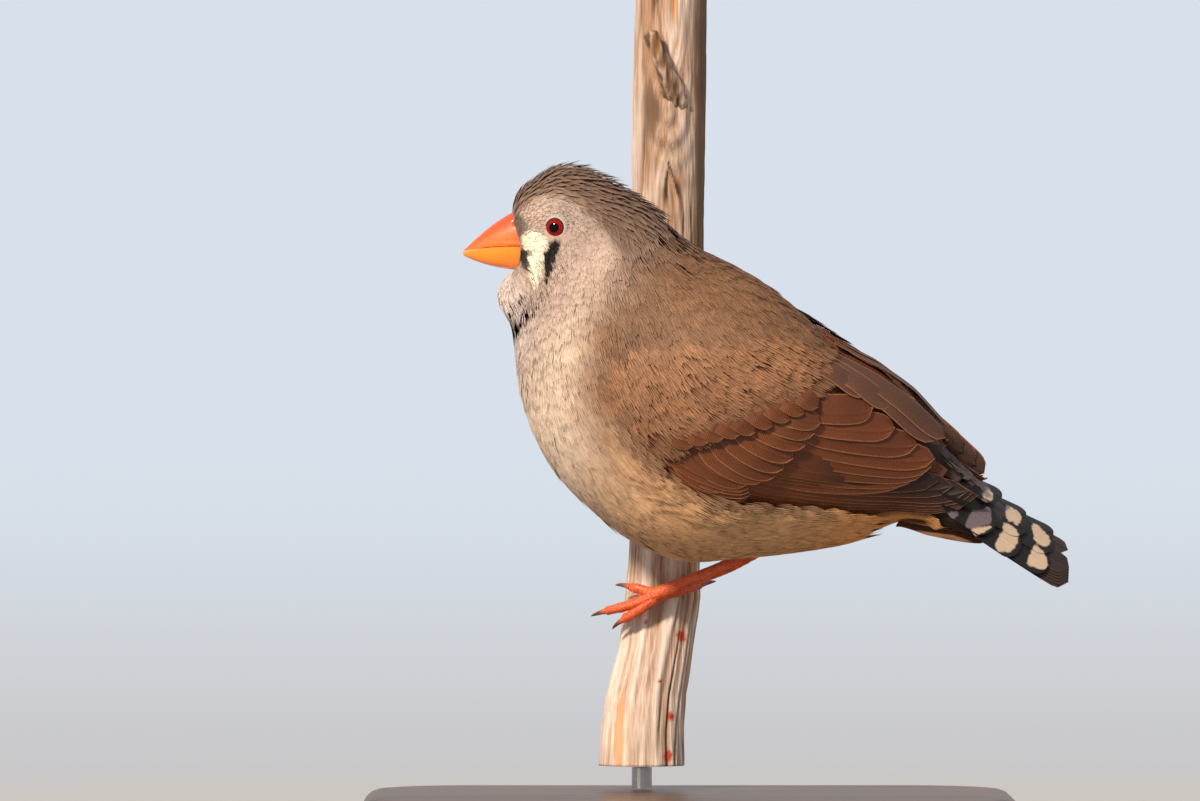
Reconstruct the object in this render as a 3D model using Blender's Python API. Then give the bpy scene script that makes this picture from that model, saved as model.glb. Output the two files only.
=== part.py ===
"""A life-size model of a female zebra finch on a cut length of dead branch.

The bird clings to the upright branch with its body across the front of it,
head to the left in profile, back rolled a little toward the viewer. The
branch stands on one rod over a low wooden base.

Metres, +Z up, origin at the middle of the base's underside. Sizes below are
in millimetres and are turned into metres when each mesh is made.
"""
import math

import bmesh
import bpy
import numpy as np
from mathutils import Matrix, Vector

MM = 0.001
GAP = 0.3                   # clearance kept between neighbouring pieces

# the bird's own middle plane stands this far in front of the base's middle
BODY_Y = -6.5
LEVEL = 0.5                 # where between belly and back a rib's middle lies

# Ribs of the body from the bill's root to the rump. Each has the back point
# (x, z), the belly point (x, z), the half width and the roll in degrees.
RIBS = [
    (-26.0, 93.7, -23.6, 84.7, 4.0, 0.0),
    (-24.8, 96.6, -24.4, 83.5, 5.4, 0.0),
    (-22.3, 98.6, -25.5, 81.8, 6.5, 0.0),
    (-18.8, 100.2, -26.0, 80.0, 7.3, 0.0),
    (-14.5, 99.6, -25.5, 78.0, 8.1, 0.0),
    (-10.0, 97.3, -25.4, 76.0, 9.2, 3.0),
    (-5.8, 94.5, -25.4, 73.5, 10.6, 7.0),
    (-1.7, 90.5, -25.1, 70.0, 12.2, 12.0),
    (2.0, 88.0, -24.4, 66.0, 13.7, 16.0),
    (5.9, 86.1, -22.8, 61.3, 15.0, 20.0),
    (9.9, 83.8, -19.9, 56.0, 15.9, 23.0),
    (13.9, 80.8, -15.2, 51.0, 16.2, 25.0),
    (18.0, 77.1, -9.0, 46.0, 15.6, 25.0),
    (22.0, 72.9, -1.4, 42.8, 14.0, 25.0),
    (26.7, 69.6, 6.5, 43.1, 11.8, 25.0),
    (31.0, 66.0, 14.5, 43.9, 9.4, 25.0),
    (34.7, 62.0, 22.0, 45.1, 7.2, 25.0),
    (38.0, 58.5, 28.3, 46.7, 5.6, 25.0),
    (40.9, 55.8, 34.1, 45.8, 5.2, 26.0),
    (43.5, 53.6, 38.4, 45.1, 5.2, 27.0),
]
HEAD_END = 4.6              # rib numbers where one piece gives way to the next
NECK_END = 6.5
TORSO_END = 17.0

# The folded wings stand this much above the rump, rib by rib.
WING_LIFT = [0.0] * 12 + [1.0, 2.3, 2.6, 2.6, 2.6, 2.6, 2.4, 2.2]

# Edges of the folded wing in rib number and degrees from the back's middle.
WING_TOP = [(8.3, 84), (8.9, 69), (10.0, 47), (11.1, 28), (11.7, 19), (12.5, 13),
            (13.5, 8), (14.5, 6), (16.2, 5), (17.2, 6), (19.0, 6)]
WING_LOW = [(8.3, 86), (8.9, 90.5), (9.55, 97), (10.1, 101), (10.7, 104.5),
            (11.7, 105.5), (12.5, 105), (13.4, 102), (14.9, 106), (16.05, 112),
            (17.25, 108), (18.2, 88), (19.0, 70)]
WING_START = 8.6
WING_END = 17.4
WING_TIP = 18.9             # as far as the longest flight feathers reach
WING_OUTER = -0.85          # the wing's core lies between these two depths
WING_INNER = -1.95
VANE_THICK = 0.5
VANE_TILT = 0.24            # how far a vane's lower edge stands proud

# Tiers of wing feathers: depth at root and tip, half width, then each
# feather's root and tip in rib number and degrees. The lowest comes first.
WING_TIERS = [
    (-1.25, -0.50, 2.1, [((11.2, 96), (14.95, 94)), ((11.3, 93), (16.1, 99)),
                         ((11.4, 89), (17.3, 90)), ((11.5, 84), (18.3, 64)),
                         ((11.7, 80), (18.9, 38)), ((12.0, 75), (18.1, 27))]),
    (-1.15, -0.28, 2.1, [((12.5, 78), (15.3, 65)), ((12.4, 70), (16.0, 53)),
                         ((12.3, 62), (16.6, 42)), ((12.2, 54), (16.8, 29)),
                         ((12.3, 44), (16.6, 19))]),
    (-1.05, -0.08, 2.0, [((12.4, 33), (16.4, 16)), ((12.0, 27), (14.9, 21)),
                         ((11.7, 26), (14.1, 24))]),
    (-1.00, -0.10, 1.6, [((10.9, 97), (13.4, 89)), ((11.0, 92), (12.9, 86))]),
    (-1.00, -0.02, 2.1, [((11.4, 82), (13.5, 75)), ((11.4, 73), (13.65, 66)),
                         ((11.4, 64), (13.7, 56)), ((11.4, 55), (13.6, 46)),
                         ((11.3, 46), (13.3, 37))]),
    (-0.90, 0.12, 2.3, [((10.6, 87), (12.2, 81)), ((10.6, 76), (12.3, 69)),
                        ((10.6, 65), (12.3, 58)), ((10.5, 54), (12.1, 47))]),
]

# The tail: its axis from a point in the rump, and how far it is rolled.
TAIL_ROOT = (34.0, 54.6)
TAIL_DROP = 29.8
TAIL_ROLL = (27.0, 33.0)

# The branch: height, middle x, middle y and diameter.
BRANCH = [
    (12.6, -6.9, 13.6, 12.8),
    (18.0, -6.7, 13.6, 12.2),
    (23.0, -6.2, 13.7, 11.8),
    (30.0, -4.8, 13.8, 11.1),
    (37.3, -3.8, 14.1, 11.4),
    (45.0, -3.6, 14.8, 10.8),
    (56.0, -3.3, 16.1, 10.6),
    (70.0, -3.1, 17.1, 10.5),
    (84.0, -3.0, 17.5, 10.5),
    (97.0, -2.9, 17.6, 10.5),
    (112.0, -2.8, 17.7, 10.6),
    (130.0, -2.5, 17.7, 10.3),
]

BASE_SIZE = (96.0, 70.0, 9.0)
ROD_R = 1.5


def smooth(table, at):
    """Rows of a table read at fractional row numbers, with smooth passing."""
    table = np.asarray(table, float)
    at = np.clip(np.asarray(at, float), 0.0, len(table) - 1.0)
    i = np.minimum(at.astype(int), len(table) - 2)
    f = (at - i)[..., None]
    a = table[np.maximum(i - 1, 0)]
    b = table[i]
    c = table[i + 1]
    d = table[np.minimum(i + 2, len(table) - 1)]
    return 0.5 * (2 * b + (c - a) * f + (2 * a - 5 * b + 4 * c - d) * f ** 2
                  + (3 * b - a - 3 * c + d) * f ** 3)


def skin_point(t, turn, out=0.0, lift=0.0):
    """A point of the body: rib number, degrees from the back, depth and lift."""
    t, turn = np.broadcast_arrays(np.asarray(t, float), np.asarray(turn, float))
    rib = smooth(RIBS, t)
    back, belly = rib[..., 0:2], rib[..., 2:4]
    wide = rib[..., 4]
    roll = np.radians(rib[..., 5])
    span = back - belly
    height = np.linalg.norm(span, axis=-1)
    up = span / height[..., None]
    mid = belly + LEVEL * span
    tall = 0.25 * height ** 2 - (wide * np.sin(roll)) ** 2
    tall = np.sqrt(np.maximum(tall, 0.5)) / np.cos(roll)
    a = np.radians(turn)
    c, s = np.cos(a), np.sin(a)
    rise = (tall + out + np.where(c > 0, lift, 0.0)) * c
    side = (wide + out) * s
    in_plane = rise * np.cos(roll) - side * np.sin(roll)
    across = BODY_Y - rise * np.sin(roll) - side * np.cos(roll)
    return np.stack([mid[..., 0] + up[..., 0] * in_plane, across,
                     mid[..., 1] + up[..., 1] * in_plane], axis=-1)


def wing_point(t, turn, depth):
    """A point on or under the folded wings' outer face."""
    over = np.interp(t, range(len(WING_LIFT)), WING_LIFT)
    return skin_point(t, turn, depth, over)


def tail_point(along, side, rise):
    """A point in the tail's own frame: along it, to its left, above it."""
    drop = math.radians(TAIL_DROP)
    along, side, rise = np.broadcast_arrays(along, side, rise)
    roll = np.radians(np.interp(along, (6.0, 21.0), TAIL_ROLL))
    up = rise * np.cos(roll) - side * np.sin(roll)
    return np.stack([TAIL_ROOT[0] + along * math.cos(drop) + up * math.sin(drop),
                     BODY_Y - rise * np.sin(roll) - side * np.cos(roll),
                     TAIL_ROOT[1] - along * math.sin(drop) + up * math.cos(drop)],
                    axis=-1)


def branch_axis(z):
    """The branch's middle x, middle y and radius at a height."""
    rows = np.array(BRANCH)
    return (np.interp(z, rows[:, 0], rows[:, 1]),
            np.interp(z, rows[:, 0], rows[:, 2]),
            np.interp(z, rows[:, 0], rows[:, 3]) / 2)


def look(name, colour, roughness):
    material = bpy.data.materials.new(name)
    material.use_nodes = True
    shader = material.node_tree.nodes["Principled BSDF"]
    shader.inputs["Base Color"].default_value = (*colour, 1.0)
    shader.inputs["Roughness"].default_value = roughness
    shader.inputs["Metallic"].default_value = 0.0
    return material


def solid(name, points, faces, material=None, sharp=40.0):
    """One mesh object from points in millimetres, its faces turned outward."""
    mesh = bpy.data.meshes.new(name)
    mesh.from_pydata([tuple(p) for p in np.asarray(points) * MM], [], faces)
    bm = bmesh.new()
    bm.from_mesh(mesh)
    bmesh.ops.triangulate(bm, faces=[f for f in bm.faces if len(f.verts) > 4])
    bmesh.ops.recalc_face_normals(bm, faces=bm.faces)
    if bm.calc_volume(signed=True) < 0:
        bmesh.ops.reverse_faces(bm, faces=bm.faces)
    bm.to_mesh(mesh)
    bm.free()
    mesh.shade_smooth()
    mesh.set_sharp_from_angle(angle=math.radians(sharp))
    item = bpy.data.objects.new(name, mesh)
    bpy.context.scene.collection.objects.link(item)
    if material is not None:
        mesh.materials.append(material)
    return item


def loft(rings, first_pole=None, last_pole=None):
    """Points and faces of a closed skin over rings of equal counts."""
    count = len(rings[0])
    points = [p for ring in rings for p in ring]
    faces = []
    for r in range(len(rings) - 1):
        for k in range(count):
            j = (k + 1) % count
            faces.append((r * count + k, r * count + j,
                          (r + 1) * count + j, (r + 1) * count + k))
    for pole, start in ((first_pole, 0), (last_pole, (len(rings) - 1) * count)):
        if pole is None:
            faces.append(tuple(start + k for k in range(count)))
        else:
            points.append(pole)
            for k in range(count):
                faces.append((start + k, start + (k + 1) % count, len(points) - 1))
    return points, faces


def ball(name, middle, radii, rings=8, around=14, aim=None):
    """A closed ellipsoid; aim, if given, is the direction of its poles."""
    middle = np.array(middle, float)
    frame = np.eye(3)
    if aim is not None:
        axis = Vector(aim).normalized()
        frame = np.array(axis.to_track_quat("Z", "Y").to_matrix())
    loops = []
    for r in range(1, rings):
        lat = math.pi * r / rings
        turn = np.linspace(0, 2 * math.pi, around, endpoint=False)
        local = np.stack([radii[0] * math.sin(lat) * np.cos(turn),
                          radii[1] * math.sin(lat) * np.sin(turn),
                          np.full(around, radii[2] * math.cos(lat))], axis=-1)
        loops.append(middle + local @ frame.T)
    top = middle + frame @ np.array([0, 0, radii[2]])
    bottom = middle + frame @ np.array([0, 0, -radii[2]])
    return solid(name, *loft(loops, top, bottom))


def tube(name, path, radii, around=10, material=None, blunt=True, squash=1.0):
    """A tube along a path with a rounded or a pointed far end."""
    path = [Vector(p) for p in path]
    radii = [float(r) for r in radii]
    rings = []
    side = None
    for i, p in enumerate(path):
        ahead = path[min(i + 1, len(path) - 1)] - path[max(i - 1, 0)]
        ahead.normalize()
        if side is None:
            side = ahead.orthogonal().normalized()
        side = (side - ahead * side.dot(ahead)).normalized()
        other = ahead.cross(side)
        turn = np.linspace(0, 2 * math.pi, around, endpoint=False)
        ring = [p + radii[i] * (math.cos(a) * side + squash * math.sin(a) * other)
                for a in turn]
        rings.append([tuple(q) for q in ring])
    start = (path[0] - path[1]).normalized() * radii[0] * (0.5 if blunt else 0.0)
    end = (path[-1] - path[-2]).normalized() * radii[-1] * (0.5 if blunt else 0.0)
    return solid(name, *loft(rings, tuple(path[0] + start), tuple(path[-1] + end)),
                 material=material)


def torus(name, middle, axis, big, small, around=16, thick=5):
    """A closed ring lying square to its axis."""
    axis = Vector(axis).normalized()
    a = axis.orthogonal().normalized()
    b = axis.cross(a)
    points = []
    for i in range(around):
        u = 2 * math.pi * i / around
        out = math.cos(u) * a + math.sin(u) * b
        for j in range(thick):
            v = 2 * math.pi * j / thick
            points.append(tuple(Vector(middle) + out * (big + small * math.cos(v))
                                + axis * small * math.sin(v)))
    faces = []
    for i in range(around):
        for j in range(thick):
            k = (i + 1) % around
            m = (j + 1) % thick
            faces.append((i * thick + j, k * thick + j, k * thick + m, i * thick + m))
    return solid(name, points, faces)


def keep_largest(item):
    """Drop loose scraps and sealed hollows, leaving the largest surface."""
    bm = bmesh.new()
    bm.from_mesh(item.data)
    bmesh.ops.remove_doubles(bm, verts=bm.verts, dist=2e-7)
    bm.verts.ensure_lookup_table()
    seen = set()
    groups = []
    for vert in bm.verts:
        if vert in seen:
            continue
        group = []
        stack = [vert]
        seen.add(vert)
        while stack:
            v = stack.pop()
            group.append(v)
            for edge in v.link_edges:
                other = edge.other_vert(v)
                if other not in seen:
                    seen.add(other)
                    stack.append(other)
        groups.append(group)

    def reach(group):
        low = [min(v.co[k] for v in group) for k in range(3)]
        high = [max(v.co[k] for v in group) for k in range(3)]
        return sum((h - w) ** 2 for h, w in zip(high, low))

    groups.sort(key=reach, reverse=True)
    loose = [v for group in groups[1:] for v in group]
    bmesh.ops.delete(bm, geom=loose, context="VERTS")
    bm.to_mesh(item.data)
    bm.free()
    return len(loose)


def apply_boolean(item, operation, others, solver="EXACT"):
    """One Boolean of an item with a collection of closed meshes, applied."""
    group = bpy.data.collections.new(item.name + "_" + operation.lower())
    bpy.context.scene.collection.children.link(group)
    for other in others:
        group.objects.link(other)
        other.hide_render = True
        other.display_type = "WIRE"
    modifier = item.modifiers.new("fuse", "BOOLEAN")
    modifier.operation = operation
    modifier.operand_type = "COLLECTION"
    modifier.collection = group
    modifier.solver = solver
    graph = bpy.context.evaluated_depsgraph_get()
    made = bpy.data.meshes.new_from_object(item.evaluated_get(graph), depsgraph=graph)
    item.modifiers.clear()
    old = item.data
    name = old.name
    item.data = made
    bpy.data.meshes.remove(old)
    made.name = name
    for other in others:
        bpy.data.objects.remove(other)
    bpy.data.collections.remove(group)
    keep_largest(item)
    made.shade_smooth()
    made.set_sharp_from_angle(angle=math.radians(40.0))
    return item


def finish(item, material, parent):
    item.data.materials.clear()
    item.data.materials.append(material)
    item.parent = parent
    return item


def body_rings(start, end, count, around, shift_first=0.0, shift_last=0.0, out=0.0):
    """Rings of the body between two ribs, the end ones moved inward."""
    turn = np.linspace(0, 360, around, endpoint=False)
    rings = [skin_point(t, turn, out) for t in np.linspace(start, end, count)]
    ahead = rings[1].mean(axis=0) - rings[0].mean(axis=0)
    rings[0] = rings[0] + shift_first * rib_normal(start, ahead)
    behind = rings[-2].mean(axis=0) - rings[-1].mean(axis=0)
    rings[-1] = rings[-1] + shift_last * rib_normal(end, behind)
    return rings


def rib_normal(t, toward):
    """The direction square to a rib's plane, on the asked side."""
    rib = smooth(RIBS, t)
    span = rib[0:2] - rib[2:4]
    normal = np.array([span[1], 0.0, -span[0]]) / np.linalg.norm(span)
    return normal if normal @ toward > 0 else -normal


def bill_rings(part="all", grow=0.0, count=8, around=16):
    """Rings of the bill from root to tip; part is upper, lower or all."""
    rings = []
    turn = np.linspace(0, 2 * math.pi, around, endpoint=False)
    for i in range(count):
        u = i / (count - 1)
        x = -24.0 - 9.0 * u
        top = 94.3 - 6.5 * u ** 1.12 + 0.5 * math.sin(math.pi * u)
        line = 87.75 + 0.8 * (1 - u) ** 0.8
        low = 85.05 + 0.6 * u + 1.65 * u ** 2.5
        wide = 3.6 * (1 - u) ** 0.85 + 0.30
        half = max((top - low) / 2, 0.2) + grow
        side = (wide + grow) * np.sign(np.sin(turn)) * np.abs(np.sin(turn)) ** 0.85
        rise = (top + low) / 2 + half * np.cos(turn)
        if part == "upper":
            rise = np.maximum(rise, line + GAP / 2)
        if part == "lower":
            rise = np.minimum(rise, line - GAP / 2)
            side = side * 0.96
        rings.append(np.stack([np.full(around, x), BODY_Y + side, rise], axis=-1))
    return rings


def make_bill(name, part):
    """One half of the bill, flat where it meets the other."""
    rings = bill_rings(part)
    tip = rings[-1].mean(axis=0) + np.array([-0.35, 0, -0.1])
    if part == "lower":
        rings = rings[:-1]
        tip = rings[-1].mean(axis=0) + np.array([-0.8, 0, 0.25])
    return solid(name, *loft(rings, None, tip), sharp=60)


def wing_grid(mirror, bed=False, rows=15, across=7):
    """A closed slab following the folded wing; the bed is cut for it."""
    sign = -1.0 if mirror else 1.0
    outer, inner = [], []
    first, last = WING_START, WING_END
    if bed:
        first, last = WING_START - 0.12, 19.0
    for t in np.linspace(first, last, rows):
        top = np.interp(t, *zip(*WING_TOP))
        low = np.interp(t, *zip(*WING_LOW))
        if bed:
            top, low = top - 3.0, low + 3.5
            shell = np.full(across, 6.0)
            under = WING_INNER - GAP - 0.1
        else:
            low -= 8.0
            coverts = 0.6 * float(np.clip((12.6 - t) / 2.0, 0, 1))
            shell = WING_OUTER + coverts - 0.25 * np.abs(np.linspace(-1, 1, across)) ** 3
            under = WING_INNER + 0.45 * float(np.clip((t - 14.5) / 3.0, 0, 1))
        turn = sign * np.linspace(top, low, across)
        outer.append(wing_point(t, turn, shell))
        inner.append(wing_point(t, turn, under))
    points = [p for row in outer + inner for p in row]
    faces = []
    n = across
    for r in range(rows - 1):
        for k in range(n - 1):
            a = r * n + k
            faces.append((a, a + 1, a + n + 1, a + n))
            b = rows * n + a
            faces.append((b, b + n, b + n + 1, b + 1))
    rim = [k for k in range(n)]
    rim += [r * n + n - 1 for r in range(1, rows)]
    rim += [(rows - 1) * n + k for k in range(n - 2, -1, -1)]
    rim += [r * n for r in range(rows - 2, 0, -1)]
    for a, b in zip(rim, rim[1:] + rim[:1]):
        faces.append((a, b, rows * n + b, rows * n + a))
    return points, faces


def wing_vane(mirror, root, tip, wide, deep_root, deep_tip, steps=5):
    """One feather lying along the folded wing, its lower edge proud."""
    sign = -1.0 if mirror else 1.0
    root, tip = np.array(root, float), np.array(tip, float)
    rings = []
    for i in range(steps + 1):
        u = i / steps
        at = root + (tip - root) * u
        along = wing_point(at[0] + 0.05, sign * at[1], 0.0)
        along = (along - wing_point(at[0] - 0.05, sign * at[1], 0.0)) / 0.1
        round_ = wing_point(at[0], sign * (at[1] + 1.0), 0.0)
        round_ = (round_ - wing_point(at[0], sign * (at[1] - 1.0), 0.0)) / 2.0
        ahead = along * (tip[0] - root[0]) + round_ * (tip[1] - root[1])
        normal = np.cross(along, round_)
        lateral = np.cross(normal, ahead)
        lateral /= np.linalg.norm(lateral)
        lateral *= 1.0 if lateral @ round_ > 0 else -1.0
        basis = np.stack([along, round_], axis=1)
        step = np.linalg.lstsq(basis, lateral, rcond=None)[0]
        half = wide * min(1.0, 0.55 + 2.2 * u)
        if u > 0.7:
            half = wide * math.sqrt(max(1.0 - ((u - 0.7) / 0.3) ** 2 * 0.9, 0.0))
        deep = deep_root + (deep_tip - deep_root) * min(1.0, u * 1.6)
        thick = VANE_THICK if u < 0.9 else 0.36
        ring = []
        for j, drop in ((-1, 0), (0, 0), (1, 0), (1, 1), (0, 1), (-1, 1)):
            spot = at + step * half * j
            level = deep + VANE_TILT * j - thick * drop
            ring.append(wing_point(spot[0], sign * spot[1], level))
        rings.append(np.array(ring))
    return solid("vane", *loft(rings))


def make_wing(name, mirror):
    """A folded wing: its core and the overlapping tiers of feathers on it."""
    wing = solid(name, *wing_grid(mirror))
    vanes = []
    for deep_root, deep_tip, wide, feathers in WING_TIERS:
        for number, (root, tip) in enumerate(feathers):
            step = 0.03 * number
            vanes.append(wing_vane(mirror, root, tip, wide, deep_root, deep_tip + step))
    return apply_boolean(wing, "UNION", vanes)


def main():
    for item in list(bpy.data.objects):
        bpy.data.objects.remove(item)

    root = bpy.data.objects.new("finch", None)
    bpy.context.scene.collection.objects.link(root)

    grey = look("head_feathers", (0.33, 0.28, 0.25), 0.8)
    brown = look("back_feathers", (0.22, 0.15, 0.10), 0.8)
    buff = look("body_feathers", (0.42, 0.33, 0.24), 0.8)
    wing_brown = look("wing_feathers", (0.16, 0.11, 0.08), 0.7)
    tail_dark = look("tail_feathers", (0.05, 0.04, 0.035), 0.7)
    orange = look("bill_horn", (0.80, 0.16, 0.03), 0.35)
    amber = look("bill_horn_lower", (0.85, 0.24, 0.04), 0.35)
    eye_red = look("eye", (0.12, 0.01, 0.01), 0.1)
    leg_orange = look("leg_skin", (0.75, 0.22, 0.08), 0.5)
    claw_dark = look("claw_horn", (0.35, 0.16, 0.09), 0.45)
    wood = look("dead_wood", (0.36, 0.30, 0.25), 0.85)
    base_wood = look("stand_wood", (0.10, 0.055, 0.03), 0.45)
    steel = look("stand_steel", (0.30, 0.29, 0.28), 0.35)

    # head: skull and chin, rings of bare skin at the eyes, sockets, bill's seat
    head = solid("head", *loft(body_rings(0.0, HEAD_END, 13, 28)))
    chin = ball("chin", (-25.2, BODY_Y, 82.7), (2.8, 3.2, 2.8), 6, 12)
    eye_x, eye_z = -19.2, 91.1
    eye_y = 7.35
    aims = {"left": (-0.30, -1.0, 0.02), "right": (-0.30, 1.0, 0.02)}
    lids = []
    sockets = []
    eyes = []
    for side, sign in (("left", -1.0), ("right", 1.0)):
        middle = Vector((eye_x, BODY_Y + sign * (eye_y - 1.0), eye_z))
        aim = Vector(aims[side]).normalized()
        lids.append(torus("lid_" + side, middle + aim * 1.62, aim, 1.72, 0.34))
        sockets.append(ball("socket_" + side, middle, (2.2, 2.2, 2.2), 8, 16, aim))
        eyes.append(ball("eye_" + side, middle, (1.88, 1.88, 1.88), 8, 16, aim))
    apply_boolean(head, "UNION", [chin] + lids)
    seat_rings = bill_rings(grow=GAP + 0.05)
    seat_rings.insert(0, seat_rings[0] + np.array([GAP + 0.05, 0, 0]))
    seat = solid("seat", *loft(seat_rings))
    apply_boolean(head, "DIFFERENCE", sockets + [seat])
    finish(head, grey, root)
    for item in eyes:
        finish(item, eye_red, root)

    # bill: two halves with the line of the mouth between them, two nostrils
    upper = make_bill("bill_upper", "upper")
    pits = [ball("pit", (-25.6, BODY_Y + s * 2.75, 91.6), (0.62, 0.5, 0.38), 6, 8)
            for s in (-1, 1)]
    apply_boolean(upper, "DIFFERENCE", pits)
    finish(upper, orange, root)
    finish(make_bill("bill_lower", "lower"), amber, root)

    # neck and torso
    neck = solid("neck", *loft(body_rings(HEAD_END, NECK_END, 6, 30, GAP, 0.0)))
    finish(neck, grey, root)
    torso = solid("torso", *loft(body_rings(NECK_END, TORSO_END, 22, 36, GAP, 0.0)))
    beds = [solid("bed", *wing_grid(m, bed=True)) for m in (False, True)]
    apply_boolean(torso, "DIFFERENCE", beds + [foot_nest(GAP)])
    finish(torso, buff, root)

    # wings
    for name, mirror in (("wing_left", False), ("wing_right", True)):
        finish(make_wing(name, mirror), wing_brown, root)

    # tail
    tail = make_tail()
    beds = [solid("bed", *wing_grid(m, bed=True)) for m in (False, True)]
    apply_boolean(tail, "DIFFERENCE", beds)
    finish(tail, tail_dark, root)

    # legs and claws
    make_legs(root, leg_orange, claw_dark)

    # branch with the stub of a twig
    finish(make_branch(), wood, root)

    # stand
    base = make_base()
    finish(base, base_wood, root)
    rod = tube("stand_rod", [(-6.9, 13.5, BASE_SIZE[2] + GAP), (-6.9, 13.5, 12.6 - GAP)],
               [ROD_R, ROD_R], 20, blunt=False)
    finish(rod, steel, root)


def tail_vane(start, end, side, spread, wide, rise_root, rise_tip, steps=4):
    """One tail feather or covert in the tail's own frame."""
    rings = []
    for i in range(steps + 1):
        u = i / steps
        along = start + (end - start) * u
        middle = side + spread * u
        half = wide * min(1.0, 0.6 + 1.6 * u)
        if u > 0.7:
            half = wide * math.sqrt(max(1.0 - ((u - 0.7) / 0.3) ** 2 * 0.85, 0.0))
        rise = rise_root + (rise_tip - rise_root) * u
        lean = -0.10 * middle
        thick = VANE_THICK if u < 0.9 else 0.38
        ring = []
        for j, drop in ((-1, 0), (0, 0), (1, 0), (1, 1), (0, 1), (-1, 1)):
            level = rise - thick * drop - 0.05 * half * abs(j) + lean * half * j * 0.25
            ring.append(tail_point(along, middle + half * j, level))
        rings.append(np.array(ring))
    return solid("vane", *loft(rings))


def make_tail():
    """The tail: it leaves the rump's last rib and flattens toward its end."""
    around = 24
    turn = np.linspace(0, 360, around, endpoint=False)
    first = skin_point(TORSO_END, turn)
    first = first + GAP * rib_normal(TORSO_END, np.array([1.0, 0.0, 0.0]))
    rings = [first]
    for along, wide, thick, low in ((6.2, 5.2, 4.2, -0.75), (9.5, 5.2, 3.2, -0.55),
                                    (13.0, 5.3, 2.0, -0.15), (17.0, 5.2, 1.1, -0.1),
                                    (20.0, 4.6, 0.5, 0.0)):
        a = np.radians(turn)
        side = wide * np.sign(np.sin(a)) * np.abs(np.sin(a)) ** 0.8
        rise = low + thick * np.sign(np.cos(a)) * np.abs(np.cos(a)) ** 0.8
        rings.append(tail_point(along, side, rise))
    tail = solid("tail", *loft(rings))
    vanes = []
    for k in range(5):
        for sign in (-1.0, 1.0):
            rise = 0.75 - 0.30 * k + (0.05 if sign > 0 else 0.0)
            end = 23.4 + (0.5 * k if sign > 0 else -0.25 * k)
            vanes.append(tail_vane(9.0, end, sign * (0.7 + 0.8 * k), sign * (0.2 + 0.06 * k),
                                   1.75, rise, rise))
    for end, side, wide, rise_root, rise_tip in (
            (19.5, 3.5, 2.0, 0.9, 1.15), (15.6, 3.7, 2.1, 1.2, 1.9),
            (11.4, 3.2, 2.2, 1.4, 2.9)):
        for sign in (-1.0, 1.0):
            vanes.append(tail_vane(end - 8.0, end, sign * (side - 0.6), sign * 0.6, wide,
                                   rise_root, rise_tip))
    vanes.append(tail_vane(4.0, 13.0, 0.0, 0.0, 2.3, 1.2, 2.35))
    for end, side in ((8.2, -1.6), (9.4, 1.5), (11.6, 0.1)):
        vanes.append(tail_vane(end - 6.5, end, side, 0.0, 2.2, -3.2, -3.3))
    return apply_boolean(tail, "UNION", vanes)


def branch_ring(z, around, grow=0.0):
    x, y, r = branch_axis(z)
    turn = np.linspace(0, 2 * math.pi, around, endpoint=False)
    bump = 0.16 * np.sin(3 * turn + z * 0.05) + 0.10 * np.sin(7 * turn - z * 0.09)
    r = r - 0.12 + bump * 0.5 + grow
    return np.stack([x + r * np.cos(turn), y + r * np.sin(turn), np.full(around, z)],
                    axis=-1)


def make_branch():
    """The cut length of dead branch with the stub of a side twig."""
    heights = np.linspace(BRANCH[0][0], BRANCH[-1][0], 19)
    branch = solid("perch", *loft([branch_ring(z, 20) for z in heights]))
    stub = tube("stub", [(-1.9, 14.6, 109.2), (-2.5, 12.7, 112.2), (-3.9, 11.4, 115.8),
                         (-5.7, 10.6, 120.0)], [2.2, 1.75, 1.3, 1.05], 12, blunt=False)
    return apply_boolean(branch, "UNION", [stub])


def make_base():
    """A low wooden base with rounded corners and a bevelled upper edge."""
    length, width, height = BASE_SIZE
    rings = []
    for z, inset in ((0.0, 0.8), (0.8, 0.0), (height - 1.6, 0.0), (height - 0.5, 0.6),
                     (height, 1.8)):
        ring = []
        corner = 16.0 - inset
        for quarter in range(4):
            cx = (length / 2 - 16.0) * (1 if quarter in (0, 3) else -1)
            cy = (width / 2 - 16.0) * (1 if quarter in (0, 1) else -1)
            for step in range(7):
                a = math.radians(90 * quarter + 15 * step)
                ring.append((cx + corner * math.cos(a), cy + corner * math.sin(a), z))
        rings.append(ring)
    return solid("stand_base", *loft(rings))


def foot_nest(grow):
    """The hollow in the belly plumage where the far foot reaches the branch."""
    return ball("nest", (-1.8, 11.2, 49.6), (10.5 + grow, 5.0 + grow, 4.2 + grow), 8, 16)


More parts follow.
